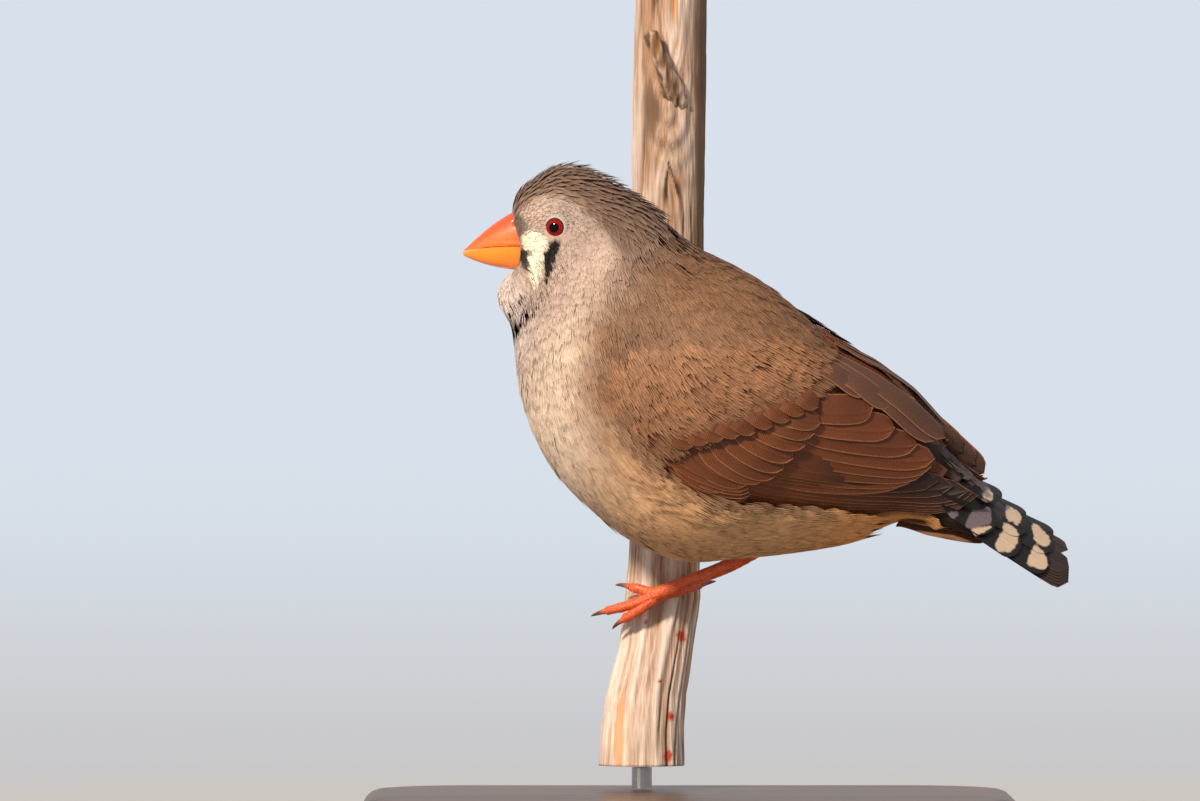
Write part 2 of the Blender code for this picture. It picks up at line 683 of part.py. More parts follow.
def make_legs(root, skin, horn):
    """Legs and toes, each one body, with the claws as pieces of their own."""
    legs = {
        "left": {
            "shank": [(8.9, 1.2, 44.2), (5.4, 2.6, 42.0), (-0.6, 4.8, 39.6), (-5.3, 6.3, 37.7)],
            "toes": [
                [(-4.9, 6.4, 37.8), (-7.0, 6.8, 38.5), (-8.5, 7.7, 38.9)],
                [(-5.0, 6.2, 37.6), (-9.0, 7.1, 36.2), (-12.0, 8.9, 35.4)],
                [(-4.9, 6.2, 37.4), (-7.9, 6.9, 35.2), (-9.5, 8.0, 34.2)],
                [(-4.9, 6.4, 37.6), (-1.6, 6.9, 38.3), (1.6, 8.5, 39.2)],
            ],
            "curl": [(-0.9, 1.0, -0.1), (-0.9, 0.8, -0.4), (-0.5, 1.0, -0.7), (0.9, 1.0, 0.1)],
        },
        "right": {
            "shank": [(3.6, 0.8, 48.8), (1.8, 3.6, 49.6), (-0.2, 6.1, 50.1), (-2.0, 7.8, 50.0)],
            "toes": [
                [(-1.8, 7.9, 50.2), (-5.0, 8.4, 51.0), (-7.3, 10.1, 51.3)],
                [(-1.8, 7.8, 50.0), (-5.0, 8.2, 49.1), (-7.9, 9.8, 48.6), (-9.3, 12.2, 48.4)],
                [(-1.8, 7.9, 49.8), (-4.4, 8.2, 48.0), (-6.4, 9.4, 47.2)],
                [(-2.0, 7.9, 50.0), (0.8, 8.3, 49.3), (3.2, 10.1, 48.8)],
            ],
            "curl": [(-0.5, 1.0, 0.0), (0.0, 1.0, -0.1), (-0.4, 1.0, -0.2), (0.3, 1.0, -0.2)],
        },
    }
    for side, data in legs.items():
        leg = tube("leg_" + side, data["shank"], [1.35, 1.1, 0.95, 0.95], 12)
        pieces = []
        for number, toe in enumerate(data["toes"]):
            radii = np.linspace(0.85, 0.62, len(toe))
            pieces.append(tube("toe", toe, radii, 10))
            end = Vector(toe[-1])
            ahead = (end - Vector(toe[-2])).normalized()
            curl = Vector(data["curl"][number]).normalized()
            start = end + ahead * (0.62 * 0.5 + GAP + 0.08)
            path = [start, start + ahead * 0.9,
                    start + ahead * 1.5 + curl * 0.35, start + ahead * 1.8 + curl * 0.9]
            claw = tube("claw_%s_%d" % (side, number + 1), path,
                        [0.45, 0.38, 0.27, 0.12], 6, blunt=False)
            finish(claw, horn, root)
        apply_boolean(leg, "UNION", pieces)
        flesh = solid("flesh", *loft(body_rings(NECK_END, TORSO_END, 22, 36, out=GAP)))
        apply_boolean(flesh, "DIFFERENCE", [foot_nest(0.0)])
        apply_boolean(leg, "DIFFERENCE", [flesh])
        finish(leg, skin, root)


main()
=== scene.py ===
"""The looks of a life-size zebra finch hen clinging to a cut length of dead branch.

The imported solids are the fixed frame. Around them this script lays the skin, the
feathers, the eyes, bill, legs and claws, the weathered branch and its stand, each
by its own operator, and lights them as the photograph is lit.

Lengths in the tables below are in millimetres, from the middle of the base's
underside, with +Z up. Sizes in the settings are in metres, as Blender keeps them.
"""
import math

import bmesh
import bpy
import numpy as np
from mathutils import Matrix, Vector, kdtree


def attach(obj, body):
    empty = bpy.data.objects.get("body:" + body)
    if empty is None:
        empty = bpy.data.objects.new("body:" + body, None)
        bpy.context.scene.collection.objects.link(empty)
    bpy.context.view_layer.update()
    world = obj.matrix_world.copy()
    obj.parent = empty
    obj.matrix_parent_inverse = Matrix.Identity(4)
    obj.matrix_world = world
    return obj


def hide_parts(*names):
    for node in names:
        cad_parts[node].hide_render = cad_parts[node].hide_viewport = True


bl_info = {
    "name": "Zebra Finch on a Branch",
    "version": (1, 0, 0),
    "blender": (4, 5, 0),
    "location": "3D View > Sidebar > Finch",
    "description": "Dresses the packed solids of a zebra finch hen on a dead branch",
    "category": "Add Mesh",
}

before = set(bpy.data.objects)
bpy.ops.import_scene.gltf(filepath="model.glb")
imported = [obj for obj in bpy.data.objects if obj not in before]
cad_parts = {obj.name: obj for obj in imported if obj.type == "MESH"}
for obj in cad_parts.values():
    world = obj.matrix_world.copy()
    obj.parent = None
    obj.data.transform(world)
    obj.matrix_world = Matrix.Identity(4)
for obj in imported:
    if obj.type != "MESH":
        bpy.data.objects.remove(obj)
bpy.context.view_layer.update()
MM = 0.001

# The bird's own middle plane, and the ribs that its body is drawn over: back x and z,
# belly x and z, half width and roll in degrees, from the bill's root to the rump.
BODY_Y = -6.5
RIBS = [
    (-26.0, 93.7, -23.6, 84.7, 4.0, 0.0),
    (-24.8, 96.6, -24.4, 83.5, 5.4, 0.0),
    (-22.3, 98.6, -25.5, 81.8, 6.5, 0.0),
    (-18.8, 100.2, -26.0, 80.0, 7.3, 0.0),
    (-14.5, 99.6, -25.5, 78.0, 8.1, 0.0),
    (-10.0, 97.3, -25.4, 76.0, 9.2, 3.0),
    (-5.8, 94.5, -25.4, 73.5, 10.6, 7.0),
    (-1.7, 90.5, -25.1, 70.0, 12.2, 12.0),
    (2.0, 88.0, -24.4, 66.0, 13.7, 16.0),
    (5.9, 86.1, -22.8, 61.3, 15.0, 20.0),
    (9.9, 83.8, -19.9, 56.0, 15.9, 23.0),
    (13.9, 80.8, -15.2, 51.0, 16.2, 25.0),
    (18.0, 77.1, -9.0, 46.0, 15.6, 25.0),
    (22.0, 72.9, -1.4, 42.8, 14.0, 25.0),
    (26.7, 69.6, 6.5, 43.1, 11.8, 25.0),
    (31.0, 66.0, 14.5, 43.9, 9.4, 25.0),
    (34.7, 62.0, 22.0, 45.1, 7.2, 25.0),
    (38.0, 58.5, 28.3, 46.7, 5.6, 25.0),
    (40.9, 55.8, 34.1, 45.8, 5.2, 26.0),
    (43.5, 53.6, 38.4, 45.1, 5.2, 27.0),
]
WING_LIFT = [0.0] * 12 + [1.0, 2.3, 2.6, 2.6, 2.6, 2.6, 2.4, 2.2]

# Edges of the folded wing in rib number and degrees from the back's middle.
WING_TOP = [(8.3, 84), (8.9, 69), (10.0, 47), (11.1, 28), (11.7, 19), (12.5, 13),
            (13.5, 8), (14.5, 6), (16.2, 5), (17.2, 6), (19.0, 6)]
WING_LOW = [(8.3, 86), (8.9, 90.5), (9.55, 97), (10.1, 101), (10.7, 104.5),
            (11.7, 105.5), (12.5, 105), (13.4, 102), (14.9, 106), (16.05, 112),
            (17.25, 108), (18.2, 88), (19.0, 70)]

# The tail: its axis from a point in the rump, its fall and its roll in degrees.
TAIL_ROOT = (34.0, 54.6)
TAIL_DROP = 29.8
TAIL_ROLL = (27.0, 33.0)

# The chin's feathers are puffed forward under the bill: height, pull and reach
# sideways, downward and upward.
CHIN_Z = 84.5
CHIN_PULL = 3.0
CHIN_REACH = (2.8, 4.2, 0.8)

# The eyes: middle of the left one, how far each stands from the middle, its aim.
EYE_X = -19.2
EYE_Z = 91.1
EYE_OUT = 6.35
EYE_BALL = 1.88
EYE_AIM = (-0.30, 1.0, 0.02)

# The branch: height, middle x, middle y and diameter.
BRANCH = [
    (12.6, -6.9, 13.6, 12.8),
    (18.0, -6.7, 13.6, 12.2),
    (23.0, -6.2, 13.7, 11.8),
    (30.0, -4.8, 13.8, 11.1),
    (37.3, -3.8, 14.1, 11.4),
    (45.0, -3.6, 14.8, 10.8),
    (56.0, -3.3, 16.1, 10.6),
    (70.0, -3.1, 17.1, 10.5),
    (84.0, -3.0, 17.5, 10.5),
    (97.0, -2.9, 17.6, 10.5),
    (112.0, -2.8, 17.7, 10.6),
    (130.0, -2.5, 17.7, 10.3),
]
TWIG = [(-1.9, 14.6, 109.2), (-2.5, 12.7, 112.2), (-3.9, 11.4, 115.8), (-5.7, 10.6, 120.0)]
BASE_SIZE = (96.0, 70.0, 9.0)

# The camera, level with the bird's breast and square to its left side.
CAMERA_X = -13.05
CAMERA_Z = 66.2
CAMERA_AWAY = 1500.0
VIEW_WIDTH = 174.0


def lit(red, green, blue):
    """A colour given in screen steps of 0 to 255, as the linear value Blender keeps."""
    parts = []
    for value in (red, green, blue):
        step = value / 255.0
        linear = step / 12.92 if step <= 0.04045 else ((step + 0.055) / 1.055) ** 2.4
        parts.append(linear)
    return tuple(parts)


def swatch(name, description, red, green, blue):
    """A colour property with its default."""
    return bpy.props.FloatVectorProperty(
        name=name, description=description, subtype="COLOR", size=3,
        min=0.0, max=1.0, default=lit(red, green, blue))


def length(name, description, millimetres):
    """A length property in metres, with its default given in millimetres."""
    return bpy.props.FloatProperty(
        name=name, description=description, unit="LENGTH", precision=6,
        min=0.0, default=millimetres * MM)


def factor(name, description, value, most=4.0):
    """A plain number property."""
    return bpy.props.FloatProperty(
        name=name, description=description, min=0.0, max=most, default=value)


class FinchPlumage(bpy.types.PropertyGroup):
    """Colours of the plumage, and how the small feathers are laid."""

    crown: swatch("Crown", "Grey-brown of the crown and nape", 134, 105, 89)
    cheek: swatch("Cheek", "Pale grey of the cheeks and ear coverts", 180, 154, 140)
    lore: swatch("Lore", "Pale buff between the bill and the eye", 180, 151, 136)
    cream: swatch("Cream stripe", "Stripe in front of the tear mark", 248, 230, 202)
    tear: swatch("Tear mark", "Black stripe under the eye", 22, 17, 16)
    throat: swatch("Throat", "Pale grey-buff of the chin and throat", 209, 188, 178)
    breast: swatch("Breast", "Warm buff of the breast", 208, 182, 160)
    belly: swatch("Belly", "Browner buff of the belly and flanks", 210, 160, 114)
    vent: swatch("Vent", "Orange buff in front of the tail", 214, 144, 82)
    mantle: swatch("Mantle", "Brown of the back and shoulders", 128, 90, 63)
    rump: swatch("Rump", "Grey-brown above the tail", 92, 76, 72)
    size: factor("Feather size", "Scale of every small feather", 1.0)
    closeness: factor("Closeness", "Scale of the distance between feather roots", 1.0)
    depth: length("Coat depth", "How far the skin lies under the feather tips", 0.26)
    barb: length("Barb spacing", "Distance between the fine lines on a feather", 0.36)
    seed: bpy.props.IntProperty(
        name="Seed", description="Starts every random draw of the coat", default=7)


class FinchWings(bpy.types.PropertyGroup):
    """Colours and sizes of the wing quills and coverts."""

    covert: swatch("Coverts", "Warm brown of the wing coverts", 106, 57, 29)
    quill: swatch("Quills", "Brown of the secondaries and primaries", 110, 57, 29)
    tip: swatch("Quill tips", "Dark brown of the primary tips", 40, 22, 16)
    inner: swatch("Inner quills", "Grey-brown of the innermost secondaries", 98, 64, 48)
    fringe: swatch("Fringe", "Pale edge of a wing feather", 150, 98, 64)
    thick: length("Vane thickness", "Thickness of a wing feather", 0.14)
    barb: length("Barb spacing", "Distance between barbs on a wing feather", 0.34)


class FinchTail(bpy.types.PropertyGroup):
    """Colours of the tail and its barred coverts."""

    black: swatch("Black bars", "Black of the barred coverts", 18, 14, 14)
    # Painted shade: the pale bars are kept darker than their white, for the partial shade they lie in.
    cream: swatch("Pale bars", "Cream tips of the barred coverts", 178, 154, 132)
    # Painted shade: the colour of a pale bar where shade falls on its upper part.
    shaded_cream: swatch("Shaded bars", "Grey-lilac upper part of a pale bar", 98, 84, 90)
    quill: swatch("Tail quills", "Dark brown of the tail feathers", 46, 33, 30)
    under: swatch("Under tail", "Buff of the under-tail coverts", 152, 106, 78)


class FinchBill(bpy.types.PropertyGroup):
    """Colours of the bill."""

    ridge: swatch("Ridge", "Red of the bill's ridge and root", 214, 54, 10)
    upper: swatch("Upper half", "Orange red of the upper half", 238, 106, 20)
    lower: swatch("Lower half", "Yellow orange of the lower half", 252, 136, 28)


class FinchEyes(bpy.types.PropertyGroup):
    """Sizes and colours of the eyes."""

    iris: swatch("Iris", "Deep red of the iris", 132, 18, 14)
    skin: swatch("Eye ring", "Bare grey skin round the eye", 186, 172, 160)
    pupil_size: length("Pupil", "Radius of the pupil", 0.72)
    iris_size: length("Iris radius", "Radius of the iris", 1.34)
    beads: bpy.props.IntProperty(
        name="Beads", description="Number of small beads on each eye ring", default=26)


class FinchLegs(bpy.types.PropertyGroup):
    """Colours and sizes of the legs and claws."""

    skin: swatch("Leg skin", "Orange of the legs and toes", 232, 104, 52)
    claw: swatch("Claws", "Horn of the claws", 96, 52, 36)
    scute: length("Scute spacing", "Distance between the scales on a toe", 0.62)


class FinchBranch(bpy.types.PropertyGroup):
    """Colours and sizes of the dead branch and the stand."""

    pale: swatch("Pale wood", "Sun-bleached ridges of the grain", 222, 202, 188)
    grain: swatch("Grain", "Brown of the grain's hollows", 150, 112, 84)
    # Also paints the shade on the branch's right side and on the twig stub.
    crack_and_shade: swatch("Cracks", "Dark lines in the wood", 70, 52, 42)
    ochre: swatch("Ochre streaks", "Yellow-brown stain along the grain", 196, 134, 78)
    rust: swatch("Rust specks", "Small red-brown specks", 168, 60, 30)
    relief: length("Relief", "Depth of the grain's relief", 0.28)
    stand: swatch("Stand wood", "Dark wood of the base", 92, 62, 42)


class FinchStage(bpy.types.PropertyGroup):
    """Light, floor and background."""

    key: factor("Key light", "Strength of the warm light from the left", 5.2, 20.0)
    fill: factor("Fill light", "Strength of the soft light all round", 0.62, 20.0)
    key_colour: swatch("Key colour", "Colour of the warm light", 255, 242, 222)
    high: swatch("Upper background", "Colour behind the top of the picture", 216, 225, 235)
    low: swatch("Lower background", "Colour behind the foot of the picture", 198, 195, 195)
    floor: swatch("Floor", "Pale floor under the stand", 172, 170, 170)


def smooth(table, at):
    """Rows of a table read at fractional row numbers, with smooth passing."""
    table = np.asarray(table, float)
    at = np.clip(np.asarray(at, float), 0.0, len(table) - 1.0)
    i = np.minimum(at.astype(int), len(table) - 2)
    f = (at - i)[..., None]
    a = table[np.maximum(i - 1, 0)]
    b = table[i]
    c = table[i + 1]
    d = table[np.minimum(i + 2, len(table) - 1)]
    bend = (2 * a - 5 * b + 4 * c - d) * f ** 2 + (3 * b - a - 3 * c + d) * f ** 3
    return 0.5 * (2 * b + (c - a) * f + bend)


def band(x, start, end):
    """A soft step that is 0 before start and 1 after end; end may be the smaller."""
    u = np.clip((np.asarray(x, float) - start) / (end - start), 0.0, 1.0)
    return u * u * (3.0 - 2.0 * u)


def lumps(points, size, seed=0):
    """Smooth random values from -1 to 1 that change over a size in millimetres."""
    p = np.asarray(points, float) / size
    cell = np.floor(p).astype(np.int64)
    f = p - cell
    f = f * f * (3.0 - 2.0 * f)
    total = np.zeros(p.shape[:-1])
    for corner in range(8):
        step = np.array([corner & 1, (corner >> 1) & 1, (corner >> 2) & 1])
        c = cell + step
        key = c[..., 0] * 73856093 + c[..., 1] * 19349663 + c[..., 2] * 83492791
        key = (key + seed * 2654435) & 0x7FFFFFFF
        key = ((key ^ (key >> 15)) * 1274126177) & 0x7FFFFFFF
        key = ((key ^ (key >> 13)) * 1103515245) & 0x7FFFFFFF
        weight = np.prod(np.where(step, f, 1.0 - f), axis=-1)
        total += weight * (key / 0x3FFFFFFF - 1.0)
    return total


def body_point(t, turn, out=0.0, lift=0.0):
    """A point of the plumage: rib number, degrees from the back, depth and lift."""
    t, turn = np.broadcast_arrays(np.asarray(t, float), np.asarray(turn, float))
    rib = smooth(RIBS, t)
    back, belly, wide = rib[..., 0:2], rib[..., 2:4], rib[..., 4]
    roll = np.radians(rib[..., 5])
    span = back - belly
    height = np.linalg.norm(span, axis=-1)
    up = span / height[..., None]
    mid = (back + belly) / 2
    tall = 0.25 * height ** 2 - (wide * np.sin(roll)) ** 2
    tall = np.sqrt(np.maximum(tall, 0.5)) / np.cos(roll)
    c, s = np.cos(np.radians(turn)), np.sin(np.radians(turn))
    rise = (tall + out + np.where(c > 0, lift, 0.0)) * c
    side = (wide + out) * s
    in_plane = rise * np.cos(roll) - side * np.sin(roll)
    x = mid[..., 0] + up[..., 0] * in_plane
    y = BODY_Y - rise * np.sin(roll) - side * np.cos(roll)
    z = mid[..., 1] + up[..., 1] * in_plane
    reach = np.where(z < CHIN_Z, CHIN_REACH[1], CHIN_REACH[2])
    away = ((y - BODY_Y) / CHIN_REACH[0]) ** 2 + ((z - CHIN_Z) / reach) ** 2
    puffed = np.exp(-0.5 * away) * (x < -10.0)
    pull = (CHIN_PULL + out) * puffed
    return np.stack([x - pull, y, z - 0.10 * pull], axis=-1)


def wing_point(t, turn, out=0.0):
    """A point on or under the folded wings' outer face."""
    over = np.interp(t, range(len(WING_LIFT)), WING_LIFT)
    return body_point(t, turn, out, over)


def tail_point(along, side, rise):
    """A point in the tail's own frame: along it, to its left, above it."""
    drop = math.radians(TAIL_DROP)
    along, side, rise = np.broadcast_arrays(along, side, rise)
    roll = np.radians(np.interp(along, (6.0, 21.0), TAIL_ROLL))
    up = rise * np.cos(roll) - side * np.sin(roll)
    x = TAIL_ROOT[0] + along * math.cos(drop) + up * math.sin(drop)
    y = BODY_Y - rise * np.sin(roll) - side * np.cos(roll)
    z = TAIL_ROOT[1] - along * math.sin(drop) + up * math.cos(drop)
    return np.stack([x, y, z], axis=-1)


def seen_at(points):
    """Where points appear on the bird's middle plane, as the camera sees them."""
    shrink = CAMERA_AWAY / (CAMERA_AWAY + points[..., 1] - BODY_Y)
    x = CAMERA_X + (points[..., 0] - CAMERA_X) * shrink
    z = CAMERA_Z + (points[..., 2] - CAMERA_Z) * shrink
    return x, z


def tangents(surface, t, turn):
    """Change of place per rib and per degree, and the outward normal."""
    per_rib = (surface(t + 0.02, turn) - surface(t - 0.02, turn)) / 0.04
    per_degree = (surface(t, turn + 0.5) - surface(t, turn - 0.5)) / 1.0
    normal = np.cross(per_rib, per_degree)
    normal /= np.linalg.norm(normal, axis=-1, keepdims=True)
    outside = surface(t, turn, 0.5) - surface(t, turn, 0.0)
    sign = np.sign(np.sum(outside * normal, axis=-1, keepdims=True))
    return per_rib, per_degree, normal * sign


def steps_for(per_rib, per_degree, move):
    """Rib and degree steps that make a move in millimetres along the surface."""
    rr = np.sum(per_rib * per_rib, axis=-1)
    rd = np.sum(per_rib * per_degree, axis=-1)
    dd = np.sum(per_degree * per_degree, axis=-1)
    mr = np.sum(move * per_rib, axis=-1)
    md = np.sum(move * per_degree, axis=-1)
    det = rr * dd - rd * rd
    return (mr * dd - md * rd) / det, (md * rr - mr * rd) / det


def add_object(name, data):
    """A new object in the scene."""
    item = bpy.data.objects.new(name, data)
    bpy.context.scene.collection.objects.link(item)
    return item


def make_piece(name, points, faces, material):
    """One mesh object from points in millimetres and a list of faces."""
    mesh = bpy.data.meshes.new(name)
    mesh.from_pydata((np.asarray(points, float) * MM).tolist(), [], faces)
    mesh.validate()
    return place_piece(name, mesh, material)


def place_piece(name, mesh, material):
    """Link a finished mesh as a piece that rides with the bird and its stand."""
    mesh.shade_smooth()
    mesh.materials.clear()
    mesh.materials.append(material)
    piece = add_object(name, mesh)
    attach(piece, "root")
    return piece


def paint_points(mesh, name, colours):
    """Keep a colour on every point of a mesh."""
    layer = mesh.color_attributes.new(name=name, type="FLOAT_COLOR", domain="POINT")
    full = np.concatenate([colours, np.ones((len(colours), 1))], axis=1)
    layer.data.foreach_set("color", full.astype(np.float32).ravel())


def paint_maps(mesh, maps):
    """UV maps by name, each given as one pair of values per point of the mesh."""
    corners = np.empty(len(mesh.loops), np.int32)
    mesh.loops.foreach_get("vertex_index", corners)
    for name, values in maps.items():
        layer = mesh.uv_layers.new(name=name)
        layer.data.foreach_set("uv", values[corners].astype(np.float32).ravel())


def pair(first, second):
    """Two arrays side by side on a last axis."""
    return np.stack(np.broadcast_arrays(first, second), axis=-1)


def with_ends(grid):
    """The points of a grid of rings, then the middle of its first and last ring."""
    flat = grid.reshape(-1, grid.shape[-1])
    return np.vstack([flat, grid[0].mean(axis=0), grid[-1].mean(axis=0)])


def ring_faces(rows, around, ends=True):
    """Faces over rings of points that follow one another, with a point at each end."""
    faces = []
    for r in range(rows - 1):
        for k in range(around):
            j = (k + 1) % around
            a, b = r * around, (r + 1) * around
            faces.append((a + k, a + j, b + j, b + k))
    last = (rows - 1) * around
    for k in range(around if ends else 0):
        j = (k + 1) % around
        faces.append((j, k, rows * around))
        faces.append((last + k, last + j, rows * around + 1))
    return faces


def face_outward(mesh):
    """Turn the faces of a closed mesh outward."""
    bm = bmesh.new()
    bm.from_mesh(mesh)
    bmesh.ops.recalc_face_normals(bm, faces=bm.faces)
    if bm.calc_volume(signed=True) < 0:
        bmesh.ops.reverse_faces(bm, faces=bm.faces)
    bm.to_mesh(mesh)
    bm.free()


def many_alike(name, points, faces, maps, colours, normals):
    """A mesh of many copies of one set of faces.

    points is (copies, points of one, 3) in millimetres, colours and normals have the
    same shape, and maps gives the name of each UV map its (copies, points of one, 2).
    """
    copies, each = points.shape[:2]
    corners = np.concatenate([np.array(face) for face in faces])
    starts = np.cumsum([0] + [len(face) for face in faces])[:-1]
    shift = np.arange(copies)[:, None]
    loops = (corners[None, :] + shift * each).ravel()
    first = (starts[None, :] + shift * len(corners)).ravel()
    mesh = bpy.data.meshes.new(name)
    mesh.vertices.add(copies * each)
    mesh.vertices.foreach_set("co", (points * MM).astype(np.float32).ravel())
    mesh.loops.add(len(loops))
    mesh.loops.foreach_set("vertex_index", loops.astype(np.int32))
    mesh.polygons.add(len(first))
    mesh.polygons.foreach_set("loop_start", first.astype(np.int32))
    mesh.update(calc_edges=True)
    mesh.validate()
    paint_maps(mesh, {name: values.reshape(-1, 2) for name, values in maps.items()})
    paint_points(mesh, "plumage", colours.reshape(-1, 3))
    mesh.normals_split_custom_set_from_vertices(normals.reshape(-1, 3))
    return mesh


def tuft_shape(barbs, spread, blunt, gather=1.0, widest=0.68, fat=1.0):
    """Points (across, along, above, barb number, edge) and faces of one small feather.

    Each barb is a closed sliver with a low raised back, nearly parallel to its
    neighbours. spread is how far apart the barbs start, blunt how rounded the front is,
    and gather below 1 draws the tips together, as in a pointed feather.
    """
    points, faces = [], []
    half = fat / barbs
    for k in range(barbs):
        a = (2.0 * k + 1.0) / barbs - 1.0
        front = 1.0 - blunt * a * a
        begin = 0.10 * abs(a)
        mid = begin + (front - begin) * widest
        place = a * (1.0 - (1.0 - gather) * 0.35)
        start = len(points)
        points += [(spread * a, begin, 0.0, k, 0.0),
                   (place - half, mid, 0.0, k, -1.0),
                   (place, mid, half * 0.30, k, 0.0),
                   (place + half, mid, 0.0, k, 1.0),
                   (gather * a, front, 0.0, k, 0.0)]
        root, left, top, right, tip = range(start, start + 5)
        faces += [(root, top, left), (root, right, top), (left, top, tip), (top, right, tip),
                  (root, left, tip, right)]
    return np.array(points), faces


def scatter(ribs, turns, gap, seed, keep=None, surface=body_point):
    """Feather roots dart-thrown over a part of the body, a gap apart in millimetres."""
    rng = np.random.default_rng(seed)
    grid_t, grid_turn = np.meshgrid(np.linspace(*ribs, 24), np.linspace(*turns, 24))
    per_rib, per_degree, _ = tangents(surface, grid_t, grid_turn)
    area = np.linalg.norm(np.cross(per_rib, per_degree), axis=-1)
    whole = area.mean() * (ribs[1] - ribs[0]) * (turns[1] - turns[0])
    count = int(5.5 * whole / gap ** 2)
    t = rng.uniform(*ribs, count)
    turn = rng.uniform(*turns, count)
    per_rib, per_degree, _ = tangents(surface, t, turn)
    area_here = np.linalg.norm(np.cross(per_rib, per_degree), axis=-1)
    chosen = rng.uniform(0.0, area.max() * 1.05, count) < area_here
    if keep is not None:
        chosen &= keep(t, turn)
    t, turn = t[chosen], turn[chosen]
    spots = surface(t, turn)
    cells = np.floor(spots / gap).astype(int)
    taken = {}
    kept = []
    for i, (cell, spot) in enumerate(zip(cells.tolist(), spots.tolist())):
        clear = True
        for dx in (-1, 0, 1):
            for dy in (-1, 0, 1):
                for dz in (-1, 0, 1):
                    for other in taken.get((cell[0] + dx, cell[1] + dy, cell[2] + dz), ()):
                        if ((spot[0] - other[0]) ** 2 + (spot[1] - other[1]) ** 2
                                + (spot[2] - other[2]) ** 2) < gap * gap:
                            clear = False
        if clear:
            taken.setdefault(tuple(cell), []).append(spot)
            kept.append(i)
    return t[kept], turn[kept]


# How far barb tips stray sideways and lengthwise, and the size of a feather's patch in
# the coat's unwrap, which is laid out by angle and rib number.
LOOSE = 0.07
UNEVEN = 0.10
PATCH = 0.003


def lay_tufts(name, t, turn, look, shape, material, surface=body_point):
    """One piece of plumage: a small feather at every root, along the coat's lie.

    look holds, for each root: long, wide, swing (degrees from straight back toward
    the belly), root_depth, tip_depth, colour, and dark: painted shade, how much darker
    the quill end is made where the feathers laid over it would shade it.
    """
    points, faces = shape
    count = len(t)
    fibre = points[:, 3].astype(int)
    tips = points[:, 1] > 0.7
    rng = np.random.default_rng(look["seed"])
    stray = rng.normal(0.0, 1.0, (3, count, fibre.max() + 1))[:, :, fibre]
    a = points[None, :, 0] + LOOSE * stray[0] * tips
    along = points[None, :, 1] * (1.0 + UNEVEN * stray[1] * tips)
    above = points[None, :, 2] * look["wide"][:, None] + 0.015 * stray[2] * tips
    per_rib, per_degree, normal = tangents(surface, t, turn)
    rib_way = per_rib / np.linalg.norm(per_rib, axis=-1, keepdims=True)
    swing = np.radians(look["swing"])[:, None] * np.sign(turn)[:, None]
    degree_way = np.cross(normal, rib_way)
    handed = np.sign(np.sum(degree_way * per_degree, axis=-1, keepdims=True))
    ahead = rib_way * np.cos(swing) + degree_way * handed * np.sin(swing)
    lateral = np.cross(ahead, normal)
    move = (ahead[:, None, :] * (look["long"][:, None] * along)[..., None]
            + lateral[:, None, :] * (look["wide"][:, None] * a)[..., None])
    dt, dturn = steps_for(per_rib[:, None, :], per_degree[:, None, :], move)
    rise = np.clip(along, 0.0, 1.15)
    depth = look["root_depth"][:, None] * (1.0 - rise) + look["tip_depth"][:, None] * rise
    laid = surface(t[:, None] + dt, turn[:, None] + dturn, depth + above)
    # Painted shade: each feather darkens toward its quill end, where the feathers over it shade it;
    # streak adds a random tone per barb.
    shade = look["dark"] + (1.0 - look["dark"]) * band(along, *look.get("fade", (0.0, 0.8)))
    shade = shade * (1.0 + look.get("streak", 0.10) * np.clip(stray[2], -2.0, 2.0))
    colour = look["colour"][:, None, :] * shade[..., None]
    vane = pair(a * look["wide"][:, None], along * look["long"][:, None])
    home = pair((turn + 180.0) / 360.0, t / len(RIBS))
    patch = home[:, None, :] + pair(a, along * 2.0 - 1.0) * PATCH / 2.0
    maps = {"vane": vane, "OFBake": np.clip(patch, 0.0, 1.0)}
    outside = surface(t[:, None] + dt, turn[:, None] + dturn, depth + above + 1.0) - laid
    outside = outside - (surface(t, turn, 1.0) - surface(t, turn))[:, None, :]
    outside *= 0.4 / np.maximum(np.linalg.norm(outside, axis=-1, keepdims=True), 0.4)
    lean = look.get("lean", 0.16) * points[None, :, 4, None]
    normals = normal[:, None, :] + outside + lateral[:, None, :] * lean
    normals /= np.linalg.norm(normals, axis=-1, keepdims=True)
    mesh = many_alike(name, laid, faces, maps, colour, normals)
    return place_piece(name, mesh, material)


# Face marks as outlines in x and z on the bird's middle plane, alike on both sides.
CREAM_STRIPE = [(-24.6, 90.6), (-22.9, 91.0), (-20.3, 89.4), (-21.2, 87.0), (-21.7, 84.4),
                (-22.3, 82.2), (-23.0, 83.2), (-23.6, 85.6), (-23.9, 88.0)]
TEAR_MARK = [(-20.0, 89.4), (-18.5, 89.3), (-19.0, 87.6), (-19.7, 85.6), (-20.2, 84.0),
             (-20.9, 83.0), (-21.0, 85.0), (-21.1, 87.2)]
GAPE_MARK = [(-25.0, 88.2), (-22.9, 88.0), (-23.4, 86.0), (-23.3, 84.6), (-24.4, 85.2)]
LORE_MARK = [(-26.2, 93.0), (-24.0, 93.2), (-23.6, 90.6), (-24.8, 89.6)]
# The ribs at which the tables for the edge of the grey breast give its angle.
BREAST_EDGE_RIBS = (5.0, 7.0, 8.2, 9.5, 11.0, 18.0)


